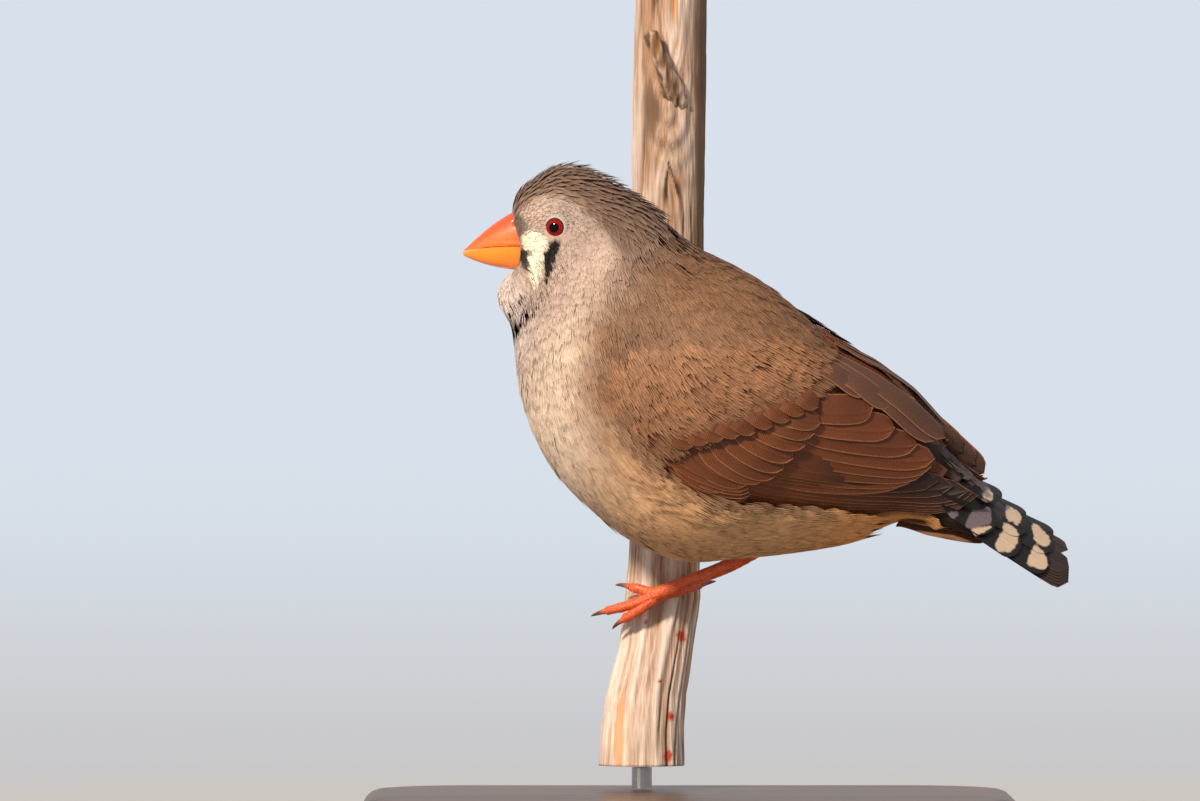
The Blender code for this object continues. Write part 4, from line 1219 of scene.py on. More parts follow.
def quill_material(name, fringe, spacing, fringe_share, roughness=0.5):
    """A flight feather or covert: barbs, and a pale, slightly ragged fringe."""
    material = feather_material(name, spacing, 0.75, 0.50, roughness, 0.30)
    tree = material.node_tree
    shader = tree.nodes["Principled BSDF"]
    plain = shader.inputs["Base Color"].links[0].from_socket
    split = add_node(tree, "ShaderNodeSeparateXYZ", Vector=uv_map(tree, "rim"))
    near = calc(tree, "MINIMUM", split.outputs["X"], split.outputs["Y"])
    uneven = calc(tree, "MULTIPLY_ADD", noise(tree, place_on(tree), 3000.0), 0.30, -0.15)
    edge = soft_step(tree, calc(tree, "ADD", near, uneven), 0.24, 0.04, fringe_share)
    feed(tree, shader, Base_Color=mixed(tree, edge, plain, fringe))
    return material


class FINCH_OT_wings(bpy.types.Operator):
    """Lay both folded wings: their inside, quills, tiers of coverts and shoulder tufts."""

    bl_idname = "finch.wings"
    bl_label = "Wings"

    def execute(self, context):
        hues = context.scene.finch_wings
        plumage = context.scene.finch_plumage
        finder = WingMap()
        barb = hues.barb / MM
        quills = quill_material("wing_quills", tuple(hues.fringe), barb, 0.6)
        inner = feather_material("wing_inside", barb, 0.7, 0.2)
        tufts = feather_material("shoulder_feathers", plumage.barb / MM, 0.12, 0.45, 0.62)
        for name, sign in (("left", 1.0), ("right", -1.0)):
            rng = np.random.default_rng(plumage.seed + 90)
            vanes = []
            for row in WING_ROWS:
                count = row[1]
                roots, tips = along_line(row[2], count), along_line(row[3], count)
                for number in range(count):
                    vanes.append(wing_vane(finder, roots[number], tips[number], sign, row,
                                           number, rng, hues, hues.thick / MM))
            if sign < 0:
                vanes += [self.far_tip(*row, hues) for row in FAR_TIPS]
            wing = close_vanes("quills_" + name, vanes, quills)
            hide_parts("wing_" + name)
            wing_core("wing_inside_" + name, sign, inner)
            self.shoulder("shoulder_" + name, sign, tufts, plumage)
        return {"FINISHED"}

    def far_tip(self, root, tip, out, hues):
        """One quill of the far wing whose tip shows above the rump, seen from within."""
        u = np.linspace(0.0, 1.0, 22)[:, None]
        v = vane_columns(-0.3)[None, :]
        root, tip = np.array(root), np.array(tip)
        chord = tip - root
        down = np.array([chord[1], -chord[0]]) / np.linalg.norm(chord)
        width = 1.75 * vane_width(u, 0.16)
        place = root + chord * u[..., None] - down * (0.5 * np.sin(np.pi * u))[..., None]
        place = place + down * (width * v)[..., None]
        y = out + 0.35 * v ** 2 + 0.0 * u
        grids = [np.stack([place[..., 0], y + depth, place[..., 1]], axis=-1)
                 for depth in (0.0, 0.12)]
        vane = vane_maps(width, v, -0.3, np.linalg.norm(chord), u)
        hue = np.array(hues.inner) * 0.55 + np.array(hues.tip) * 0.45
        vane.update(top=grids[0], under=grids[1], flip=True,
                    colour=np.broadcast_to(hue, place.shape[:2] + (3,)))
        return vane

    def shoulder(self, name, sign, finish, plumage):
        """Lesser coverts and scapulars, small feathers that run into the mantle's."""

        def keep(t, turn):
            side = np.abs(turn)
            return (t < np.interp(side, *LESSER_EDGE)) & (in_wing(t, turn) > -1.0)

        turns = (12.0, 106.0) if sign > 0 else (-106.0, -12.0)
        t, turn = scatter((8.4, 13.3), turns, 1.1 * plumage.closeness, plumage.seed + 12, keep,
                          wing_point)
        rng = np.random.default_rng(plumage.seed + 13)
        count = len(t)
        spots = wing_point(t, turn)
        clumps = lumps(spots, 2.4, 60)
        colour = plumage_colour(t + 0.3, np.clip(turn, -80.0, 80.0), spots)
        warm = band(t, 9.0, 11.5)[:, None] * np.array([0.96, 0.90, 0.86]) + (
            1.0 - band(t, 9.0, 11.5))[:, None]
        border = np.interp(np.abs(turn), *LESSER_EDGE)
        shade = (1.0 - 0.35 * band(t, border - 0.9, border))[:, None]
        look = {
            "seed": plumage.seed + 14,
            "long": rng.uniform(3.2, 4.2, count) * plumage.size,
            "wide": rng.uniform(0.9, 1.25, count) * plumage.size,
            "swing": 4.0 + 9.0 * clumps + rng.normal(0.0, 2.5, count),
            "root_depth": np.full(count, -0.26),
            "tip_depth": 0.05 + 0.05 * clumps + rng.uniform(-0.04, 0.02, count),
            "colour": 1.5 * colour * warm * shade * rng.uniform(0.90, 1.10, (count, 1)),
            # Painted shade at the quill ends, as on the body feathers.
            "dark": 0.84,
        }
        lay_tufts(name, t, turn, look, tuft_shape(**SHAPES["comb"]), finish,
                  wing_point)


# Marks on the tail coverts as seen (x, z): whether lilac, a pale bar in painted shade, then the
# outline.
TAIL_MARKS = [
    (1, [(42.4, 52.1), (43.0, 51.8), (43.7, 50.7), (43.8, 49.1), (43.6, 48.2), (41.7, 47.8),
         (40.1, 47.5), (39.7, 47.1), (40.2, 48.8), (40.8, 50.2), (41.3, 51.2)]),
    (1, [(41.7, 54.9), (42.8, 54.3), (43.7, 53.4), (43.0, 53.1), (42.4, 52.9), (42.0, 53.7)]),
    (1, [(33.5, 60.5), (37.9, 58.6), (39.8, 56.9), (40.8, 55.3), (41.2, 54.1), (40.1, 54.9),
         (39.0, 55.9), (37.4, 56.6), (33.5, 57.0)]),
    (1, [(34.7, 49.6), (38.7, 50.2), (39.0, 49.4), (37.4, 48.6), (36.2, 47.9), (35.0, 48.0)]),
    (0, [(49.6, 48.3), (50.1, 48.4), (51.3, 47.4), (52.2, 46.3), (52.2, 45.2), (51.2, 45.0),
         (50.0, 45.7), (49.6, 47.0)]),
    (0, [(49.8, 45.5), (50.8, 44.8), (51.6, 43.6), (51.9, 42.5), (51.6, 41.7), (50.3, 41.8),
         (48.7, 42.5), (49.1, 43.5), (49.6, 44.4)]),
    (0, [(45.8, 51.2), (46.8, 50.7), (48.0, 49.8), (48.1, 49.1), (47.5, 47.9), (46.8, 48.6),
         (46.0, 48.7), (45.7, 50.2)]),
    (0, [(45.6, 48.6), (46.8, 48.0), (47.7, 47.1), (47.6, 45.6), (46.8, 44.4), (45.7, 44.1),
         (44.4, 44.5), (44.2, 45.6), (45.2, 47.0), (45.4, 48.0)]),
    (0, [(39.5, 46.9), (41.2, 46.4), (42.8, 47.1), (43.8, 47.8), (43.6, 48.1), (41.7, 47.6),
         (40.1, 47.5)]),
    (0, [(42.4, 52.9), (43.3, 53.3), (44.0, 52.6), (43.8, 51.6), (43.0, 51.9), (42.4, 52.3)]),
    (0, [(37.9, 56.2), (39.3, 55.7), (40.6, 54.7), (41.3, 53.9), (40.9, 53.9), (39.8, 54.7),
         (38.2, 55.5)]),
]


def tail_vane(start, end, side, spread, half, rise_root, rise_tip, colour_at, tip_round=0.25,
              thick=0.16, shaft=0.0, rows=20, bow=1.0):
    """One tail feather or covert in the tail's own frame."""
    u = np.linspace(0.0, 1.0, rows)[:, None]
    v = vane_columns(shaft)
    if rows > 30:
        v = np.interp(np.linspace(0, len(v) - 1, 3 * len(v)), range(len(v)), v)
    v = v[None, :]
    width = half * vane_width(u, tip_round)
    along = start + (end - start) * u
    middle = side + spread * u
    rise = rise_root + (rise_tip - rise_root) * u ** bow
    rise = rise - 0.022 * (middle + width * v) ** 2 + 0.06 * np.exp(-((v - shaft) / 0.05) ** 2)
    top = tail_point(along, middle + width * v, rise)
    under = tail_point(along, middle + width * v, rise - thick * (1.0 - 0.5 * v ** 4))
    vane = vane_maps(width, v, shaft, end - start, u)
    vane.update(top=top, under=under, flip=False, colour=colour_at(top, v + 0.0 * u))
    return vane


class FINCH_OT_tail(bpy.types.Operator):
    """Lay the tail: its core, twelve tail feathers and the barred coverts over them."""

    bl_idname = "finch.tail"
    bl_label = "Tail"

    def execute(self, context):
        hues = context.scene.finch_tail
        dark, black = np.array(hues.quill), np.array(hues.black)
        under = np.array(hues.under)

        def plain(top, v):
            return np.broadcast_to(dark, v.shape + (3,)) * (0.85 + 0.35 * (v > 0.2))[..., None]

        def barred(top, v):
            x, z = seen_at(top)
            ragged = 0.16 * lumps(top / np.array([2.0, 1.0, 1.0]), 0.35, 77)
            colour = np.zeros(v.shape + (3,)) + black
            for lilac, outline in TAIL_MARKS:
                mask = band(inside(outline, x, z) + ragged, -0.10, 0.12)[..., None]
                # Lilac marks take the shaded bar colour: painted shade on a pale bar.
                hue = np.array(hues.shaded_cream if lilac else hues.cream)
                colour = colour * (1.0 - mask) + hue * mask
            return colour

        def buff(top, v):
            return np.broadcast_to(under, v.shape + (3,)) * (1.0 - 0.25 * np.abs(v))[..., None]

        quills = []
        for k in range(6):
            for sign, first, step, end in ((-1.0, 1.5, 0.32, 22.9 + 0.05 * k),
                                           (1.0, 2.3, 0.40, 24.4 + 0.17 * k)):
                quills.append(tail_vane(7.0, end, sign * (first + step * k) * 0.9,
                                        sign * (0.1 + 0.03 * k), 2.25, 0.95 - 0.12 * k,
                                        0.80 - 0.12 * k, plain, 0.11, shaft=0.3 * sign))
        coverts = []
        for end, column, half, low, high in (
                (21.6, 4.6, 2.6, 0.95, 1.15), (21.0, 0.6, 2.6, 1.05, 1.25),
                (20.2, -3.4, 2.4, 0.95, 1.15),
                (16.8, 5.0, 2.8, 1.25, 1.45), (16.4, 0.4, 3.0, 1.35, 1.60),
                (15.4, -4.0, 2.5, 1.25, 1.50),
                (12.0, 4.2, 3.3, 1.65, 2.0), (11.0, -2.2, 3.4, 2.2, 2.8),
                (7.6, 2.0, 3.6, 2.7, 3.4), (6.6, -3.0, 3.0, 2.9, 3.7)):
            coverts.append(tail_vane(end - 9.5, end, column * 0.85, column * 0.15, half,
                                     low - 0.2, high, barred, 0.22, 0.14, rows=64))
        below = []
        for end, column in ((13.2, 0.0), (12.2, 2.4), (12.2, -2.4), (9.8, 1.4), (9.8, -1.4),
                            (7.4, 2.8), (7.4, -2.8), (6.6, 0.0)):
            below.append(tail_vane(end - 12.5, end, column * 0.9, 0.0, 2.2, -7.0, -2.3, buff, 0.7,
                                   bow=0.75))
        finish = quill_material("tail_quills", lit(82, 58, 46), 0.30, 0.35, 0.45)
        bars = feather_material("barred_coverts", 0.26, 0.8, 0.16, 0.5)
        buffs = feather_material("under_tail", 0.28, 0.6, 0.35, 0.6)
        quills.append(self.core(dark))
        for name, vanes, look in (("tail_quills", quills, finish),
                                  ("barred_coverts", coverts, bars),
                                  ("under_tail_coverts", below, buffs)):
            piece = close_vanes(name, vanes, look)
            face_outward(piece.data)
            if vanes is quills:
                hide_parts("tail")
        return {"FINISHED"}

    def core(self, colour):
        """The tail's flesh, from the rump to where the feathers lie flat."""
        rows, cols = 24, 15
        u = np.linspace(0.0, 1.0, rows)[:, None]
        v = np.linspace(-1.0, 1.0, cols)[None, :]
        along = 0.5 + 16.5 * u
        wide = np.interp(along, (0.5, 6.0, 12.0, 17.0), (4.4, 4.9, 5.0, 4.6))
        thick = np.interp(along, (0.5, 6.0, 9.0, 13.0, 17.0), (4.2, 3.6, 2.6, 1.5, 0.7))
        low = np.interp(along, (0.5, 6.0, 9.5, 13.0, 17.0), (-0.9, -0.75, -0.55, -0.15, -0.1))
        arch = thick * np.sqrt(np.maximum(1.0 - v ** 2 * 0.96, 0.0))
        top = tail_point(along, wide * v, low + arch)
        under = tail_point(along, wide * v, low - arch * 0.9)
        return {"top": top, "under": under, "flip": False, "share": pair((v + 1.0) / 2.0, u),
                "vane": pair(wide * v, along),
                "rim": np.ones((rows, cols, 2)) * 5.0,
                "colour": np.broadcast_to(colour, (rows, cols, 3))}


def bill_section(u, turn, part, gap=0.10):
    """A ring of the bill at a share of its length, for its upper or lower half."""
    x = -23.9 - 9.1 * u
    top = 94.3 - 6.5 * u ** 1.12 + 0.5 * np.sin(np.pi * u)
    line = 87.75 + 0.8 * (1.0 - u) ** 0.8 + 0.25 * np.sin(np.pi * u)
    low = 85.05 + 0.6 * u + 1.65 * u ** 2.5
    wide = 3.6 * (1.0 - u) ** 0.85 + 0.26
    half = np.maximum((top - low) / 2.0, 0.2)
    side = wide * np.sign(np.sin(turn)) * np.abs(np.sin(turn)) ** 0.86
    rise = (top + low) / 2.0 + half * np.cos(turn)
    if part == "upper":
        over = rise - line - gap / 2.0
        rise = np.where(over > 0, rise, line + gap / 2.0 + 0.10 * over * (1.0 - u))
        side = side * (1.0 + 0.03 * (over < 0.5) * (1.0 - u))
    else:
        over = line - gap / 2.0 - rise
        rise = np.where(over > 0, rise, line - gap / 2.0)
        side = side * 0.955
    return np.stack([np.broadcast_to(x, rise.shape), BODY_Y + side, rise], axis=-1)


def from_nostril(points, sign):
    """Distance from the nostril on one side, counted in its own length and height."""
    return np.linalg.norm((points - [-25.3, BODY_Y + sign * 3.0, 91.9]) / [0.55, 1.0, 0.34],
                          axis=-1)


class FINCH_OT_bill(bpy.types.Operator):
    """Make the bill's two halves, with the nostrils and the line of the mouth."""

    bl_idname = "finch.bill"
    bl_label = "Bill"

    def execute(self, context):
        hues = context.scene.finch_bill
        for part, slot in (("upper", "bill_horn"), ("lower", "bill_horn_lower")):
            rows, around = 60, 96
            u = np.linspace(0.0, 0.985, rows)[:, None]
            turn = np.linspace(0.0, 2.0 * math.pi, around, endpoint=False)[None, :]
            grid = bill_section(u, turn, part)
            if part == "upper":
                for sign in (-1.0, 1.0):
                    away = from_nostril(grid, sign)
                    grid[..., 1] -= sign * 0.55 * np.exp(-(away / 0.75) ** 2)
            points = with_ends(grid)
            points[-1] = (-33.3 if part == "upper" else -32.95, BODY_Y, 87.55)
            half = make_piece("bill_half_" + part, points, ring_faces(rows, around),
                              self.horn("horn_" + part))
            face_outward(half.data)
            half.data.set_sharp_from_angle(angle=math.radians(60.0))
            paint_points(half.data, "horn", self.paint(points, part, hues))
            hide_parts("bill_" + part)
        return {"FINISHED"}

    def paint(self, points, part, hues):
        """Redder at the ridge and root, more orange toward the mouth and the tip."""
        x, y, z = points.T
        back = band(x, -33.0, -24.5)
        if part == "lower":
            colour = np.broadcast_to(np.array(hues.lower), points.shape).copy()
            warm = 0.35 * band(z, 86.6, 85.2) + 0.25 * band(x, -25.6, -24.2)
            return colour * (1.0 - warm[:, None]) + np.array(hues.upper) * warm[:, None]
        line = 88.6 - 0.8 * (1.0 - back)
        height = band(z, line, line + 5.0 * back + 0.4)
        red = np.clip(0.9 * height * (0.45 + 0.55 * back) + 0.35 * band(x, -26.2, -24.3), 0.0, 1.0)
        colour = np.array(hues.upper) * (1.0 - red[:, None]) + np.array(hues.ridge) * red[:, None]
        # The nostril pits are painted darker: partly the darker skin round the nostrils, partly painted
        # shade in the pits.
        pit = np.minimum(from_nostril(points, -1.0), from_nostril(points, 1.0))
        dark = 0.75 * np.exp(-(pit / 0.55) ** 2)[:, None]
        return colour * (1.0 - dark) + np.array(lit(92, 30, 14)) * dark

    def horn(self, name):
        """Glossy horn that lets a little light in, with faint growth lines."""
        material, tree, shader = new_material(name, 0.30, 0.5)
        lines = noise(tree, place_on(tree, (900.0, 2400.0, 1800.0)), 1.0, 3.0)
        tone = calc(tree, "MULTIPLY_ADD", lines, 0.22, 0.88)
        feed(tree, shader, Base_Color=toned(tree, painted(tree, "horn"), tone),
             Roughness=calc(tree, "MULTIPLY_ADD", lines, 0.16, 0.22), Subsurface_Weight=0.12,
             Subsurface_Radius=(0.0008, 0.0003, 0.0001), Coat_Weight=0.55, Coat_Roughness=0.16)
        emboss(tree, shader, lines, 0.25, 0.00008)
        return material


def lathe(profile, middle, aim, around):
    """Points and faces of a closed ring: profile gives (offset along aim, radius)."""
    aim = Vector(aim).normalized()
    first = aim.orthogonal().normalized()
    second = aim.cross(first)
    points, faces = [], []
    for i in range(around):
        angle = 2.0 * math.pi * i / around
        out = math.cos(angle) * first + math.sin(angle) * second
        for offset, radius in profile:
            points.append(tuple(Vector(middle) + aim * offset + out * radius))
    count = len(profile)
    for i in range(around):
        for j in range(count):
            a, b = i * count, ((i + 1) % around) * count
            k = (j + 1) % count
            faces.append((a + j, a + k, b + k, b + j))
    return points, faces


def bead_tree(material):
    """Geometry Nodes that set small beads along each curve they are given."""
    tree = bpy.data.node_groups.new("beads_on_ring", "GeometryNodeTree")
    face = tree.interface
    face.new_socket("Geometry", in_out="INPUT", socket_type="NodeSocketGeometry")
    count = face.new_socket("Count", in_out="INPUT", socket_type="NodeSocketInt")
    count.default_value = 26
    size = face.new_socket("Size", in_out="INPUT", socket_type="NodeSocketFloat")
    size.default_value = 0.00016
    seed = face.new_socket("Seed", in_out="INPUT", socket_type="NodeSocketInt")
    seed.default_value = 3
    face.new_socket("Geometry", in_out="OUTPUT", socket_type="NodeSocketGeometry")
    given = tree.nodes.new("NodeGroupInput")
    result = tree.nodes.new("NodeGroupOutput")
    spaced = tree.nodes.new("GeometryNodeResampleCurve")
    bead = tree.nodes.new("GeometryNodeMeshIcoSphere")
    bead.inputs["Subdivisions"].default_value = 2
    vary = tree.nodes.new("FunctionNodeRandomValue")
    vary.data_type = "FLOAT"
    vary.inputs[2].default_value = 0.65
    vary.inputs[3].default_value = 1.15
    put = tree.nodes.new("GeometryNodeInstanceOnPoints")
    real = tree.nodes.new("GeometryNodeRealizeInstances")
    paint = tree.nodes.new("GeometryNodeSetMaterial")
    paint.inputs["Material"].default_value = material
    link = tree.links.new
    link(given.outputs["Geometry"], spaced.inputs["Curve"])
    link(given.outputs["Count"], spaced.inputs["Count"])
    link(given.outputs["Size"], bead.inputs["Radius"])
    link(given.outputs["Seed"], vary.inputs["Seed"])
    link(spaced.outputs["Curve"], put.inputs["Points"])
    link(bead.outputs["Mesh"], put.inputs["Instance"])
    link(vary.outputs[1], put.inputs["Scale"])
    link(put.outputs["Instances"], real.inputs["Geometry"])
    link(real.outputs["Geometry"], paint.inputs["Geometry"])
    link(paint.outputs["Geometry"], result.inputs["Geometry"])
    return tree, count.identifier, size.identifier


def curve_object(name, paths, closed=False):
    """Poly curves through paths given in millimetres."""
    curve = bpy.data.curves.new(name, "CURVE")
    curve.dimensions = "3D"
    for path in paths:
        spline = curve.splines.new("POLY")
        spline.points.add(len(path) - 1)
        for point, place in zip(spline.points, path):
            point.co = (*[value * MM for value in place], 1.0)
        spline.use_cyclic_u = closed
    return add_object(name, curve)


def grown_mesh(name, item, tree, values):
    """The mesh that a Geometry Nodes tree grows on a curve object, which is then removed."""
    modifier = item.modifiers.new("grow", "NODES")
    modifier.node_group = tree
    for identifier, value in values.items():
        modifier[identifier] = value
    graph = bpy.context.evaluated_depsgraph_get()
    mesh = bpy.data.meshes.new_from_object(item.evaluated_get(graph), depsgraph=graph)
    mesh.name = name
    bpy.data.objects.remove(item)
    return mesh


class FINCH_OT_eyes(bpy.types.Operator):
    """Make the eyes with pupil and iris, their bare rings, and the beads on the rings."""

    bl_idname = "finch.eyes"
    bl_label = "Eyes"

    def execute(self, context):
        hues = context.scene.finch_eyes
        gloss = self.eye_material()
        bare = self.ring_material(tuple(hues.skin))
        circles = []
        for side, sign in (("left", -1.0), ("right", 1.0)):
            middle = Vector((EYE_X, BODY_Y + sign * EYE_OUT, EYE_Z))
            aim = Vector((EYE_AIM[0], sign * EYE_AIM[1], EYE_AIM[2])).normalized()
            self.ball(side, middle, aim, gloss, hues)
            profile = [(1.02, 1.50), (1.26, 1.38), (1.36, 1.40), (1.38, 1.50), (1.31, 1.66),
                       (1.16, 1.86), (0.92, 2.02), (0.50, 2.12), (0.10, 2.05), (0.30, 1.60)]
            points, faces = lathe(profile, middle, aim, 72)
            wobble = np.array(points)
            wobble += 0.05 * lumps(wobble, 0.5, 8)[:, None] * np.array(aim)
            ring = make_piece("eye_ring_" + side, wobble, faces, bare)
            face_outward(ring.data)
            first = aim.orthogonal().normalized()
            second = aim.cross(first)
            for offset, radius in ((1.22, 1.80), (0.98, 2.02)):
                circles.append([
                    tuple(middle + aim * offset + radius * (math.cos(a) * first + math.sin(a) * second))
                    for a in np.linspace(0.0, 2.0 * math.pi, 60, endpoint=False)])
        tree, count, size = bead_tree(bare)
        source = curve_object("ring_line", circles, closed=True)
        mesh = grown_mesh("eye_beads", source, tree, {count: hues.beads, size: 0.11 * MM})
        place_piece("eye_beads", mesh, bare)
        return {"FINISHED"}

    def ball(self, side, middle, aim, finish, hues):
        """One eyeball with rings of points close together at the pupil and iris."""
        pupil = math.asin(hues.pupil_size / MM / EYE_BALL)
        iris = math.asin(hues.iris_size / MM / EYE_BALL)
        angles = [0.12, 0.25, pupil - 0.03, pupil, pupil + 0.03, (pupil + iris) / 2,
                  iris - 0.10, iris - 0.04, iris, iris + 0.06, 1.1, 1.5, 1.9, 2.3, 2.7]
        shades = [0.0, 0.0, 0.0, 0.0, 1.0, 1.0, 0.9, 0.35, 0.05, 0.0, 0.0, 0.0, 0.0, 0.0, 0.0]
        first = aim.orthogonal().normalized()
        second = aim.cross(first)
        around = 48
        points, shade = [], []
        for angle, value in zip(angles, shades):
            for k in range(around):
                turn = 2.0 * math.pi * k / around
                out = math.cos(turn) * first + math.sin(turn) * second
                points.append(tuple(middle + EYE_BALL * (aim * math.cos(angle)
                                                         + out * math.sin(angle))))
                shade.append(value)
        points += [tuple(middle + aim * EYE_BALL), tuple(middle - aim * EYE_BALL)]
        shade += [0.0, 0.0]
        eye = make_piece("eyeball_" + side, points, ring_faces(len(angles), around), finish)
        face_outward(eye.data)
        iris_hue, dark = np.array(hues.iris), np.array(lit(9, 5, 5))
        share = np.array(shade)[:, None]
        colour = dark * (1.0 - share) + iris_hue * share
        paint_points(eye.data, "iris", colour)
        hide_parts("eye_" + side)

    def eye_material(self):
        """Wet, clear-coated eye: dark pupil, red iris with a fine mottle."""
        material, tree, shader = new_material("wet_eye", 0.5, 0.0)
        tone = calc(tree, "MULTIPLY_ADD", noise(tree, place_on(tree), 4200.0), 0.7, 0.62)
        feed(tree, shader, Base_Color=toned(tree, painted(tree, "iris"), tone),
             Coat_Weight=0.30, Coat_Roughness=0.03)
        return material

    def ring_material(self, hue):
        """Bare, finely pebbled grey skin."""
        material, tree, shader = new_material("eye_ring_skin", 0.5, 0.35)
        pebbles = add_node(tree, "ShaderNodeTexVoronoi", Vector=place_on(tree), Scale=5200.0)
        height = pebbles.outputs["Distance"]
        colour = mixed(tree, calc(tree, "MULTIPLY", height, 0.9), hue, scaled(hue, 0.45))
        feed(tree, shader, Base_Color=colour)
        emboss(tree, shader, height, 0.5, 0.00006).invert = True
        return material


# Shanks and toes of the left and right leg, and which way each claw curls.
LEGS = {
    "left": {
        "shank": [(9.6, 0.6, 44.8), (8.9, 1.2, 44.2), (5.4, 2.6, 42.0), (-0.6, 4.8, 39.6),
                  (-5.3, 6.3, 37.7)],
        "toes": [
            [(-4.9, 6.4, 37.8), (-7.0, 6.8, 38.5), (-8.5, 7.7, 38.9)],
            [(-5.0, 6.2, 37.6), (-9.0, 7.1, 36.2), (-12.0, 8.9, 35.4)],
            [(-4.9, 6.2, 37.4), (-7.9, 6.9, 35.2), (-9.5, 8.0, 34.2)],
            [(-4.9, 6.4, 37.6), (-1.6, 6.9, 38.3), (1.6, 8.5, 39.2)],
        ],
        "curl": [(-0.9, 1.0, -0.1), (-0.9, 0.8, -0.4), (-0.5, 1.0, -0.7), (0.9, 1.0, 0.1)],
    },
    "right": {
        "shank": [(4.4, 0.1, 48.3), (3.6, 0.8, 48.8), (1.8, 3.6, 49.6), (-0.2, 6.1, 50.1),
                  (-2.0, 7.8, 50.0)],
        "toes": [
            [(-1.8, 7.9, 50.2), (-5.0, 8.4, 51.0), (-7.3, 10.1, 51.3)],
            [(-1.8, 7.8, 50.0), (-5.0, 8.2, 49.1), (-7.9, 9.8, 48.6), (-9.3, 12.2, 48.4)],
            [(-1.8, 7.9, 49.8), (-4.4, 8.2, 48.0), (-6.4, 9.4, 47.2)],
            [(-2.0, 7.9, 50.0), (0.8, 8.3, 49.3), (3.2, 10.1, 48.8)],
        ],
        "curl": [(-0.5, 1.0, 0.0), (0.0, 1.0, -0.1), (-0.4, 1.0, -0.2), (0.3, 1.0, -0.2)],
    },
}


def limb(path, radii, around=28, per=14, pads=0.0, scute=0.62):
    """Points, faces and (around, along) coordinates of a scaled limb along a path."""
    table = np.array([(*place, radius) for place, radius in zip(path, radii)], float)
    at = np.linspace(0.0, len(table) - 1.0, per * (len(table) - 1) + 1)
    row = smooth(table, at)
    middle, radius = row[:, :3], row[:, 3]
    ahead = np.gradient(middle, axis=0)
    ahead /= np.linalg.norm(ahead, axis=1, keepdims=True)
    side = Vector(ahead[0]).orthogonal().normalized()
    along = np.concatenate([[0.0], np.cumsum(np.linalg.norm(np.diff(middle, axis=0), axis=1))])
    points, coords = [], []
    turn = np.linspace(0.0, 2.0 * math.pi, around, endpoint=False)
    for i in range(len(middle)):
        forward = Vector(ahead[i])
        side = (side - forward * side.dot(forward)).normalized()
        other = forward.cross(side)
        swell = 1.0 + pads * max(0.0, math.sin(along[i] * 2.0 * math.pi / (scute * 4.0)))
        saw = (along[i] / scute) % 1.0
        step = 1.0 + 0.05 * (0.5 - saw)
        for angle in turn:
            out = math.cos(angle) * side + math.sin(angle) * other
            points.append(tuple(Vector(middle[i]) + out * radius[i] * swell * step))
            coords.append((angle / (2.0 * math.pi), along[i]))
    count = len(middle)
    points.append(tuple(middle[0] - ahead[0] * radius[0] * 0.5))
    points.append(tuple(middle[-1] + ahead[-1] * radius[-1] * 0.6))
    coords += [(0.5, 0.0), (0.5, along[-1])]
    return points, ring_faces(count, around), coords


def join_forms(forms):
    """One list of points, faces and coordinates out of several."""
    points, faces, coords = [], [], []
    for form_points, form_faces, form_coords in forms:
        shift = len(points)
        points += list(form_points)
        faces += [tuple(k + shift for k in face) for face in form_faces]
        coords += list(form_coords)
    return points, faces, coords


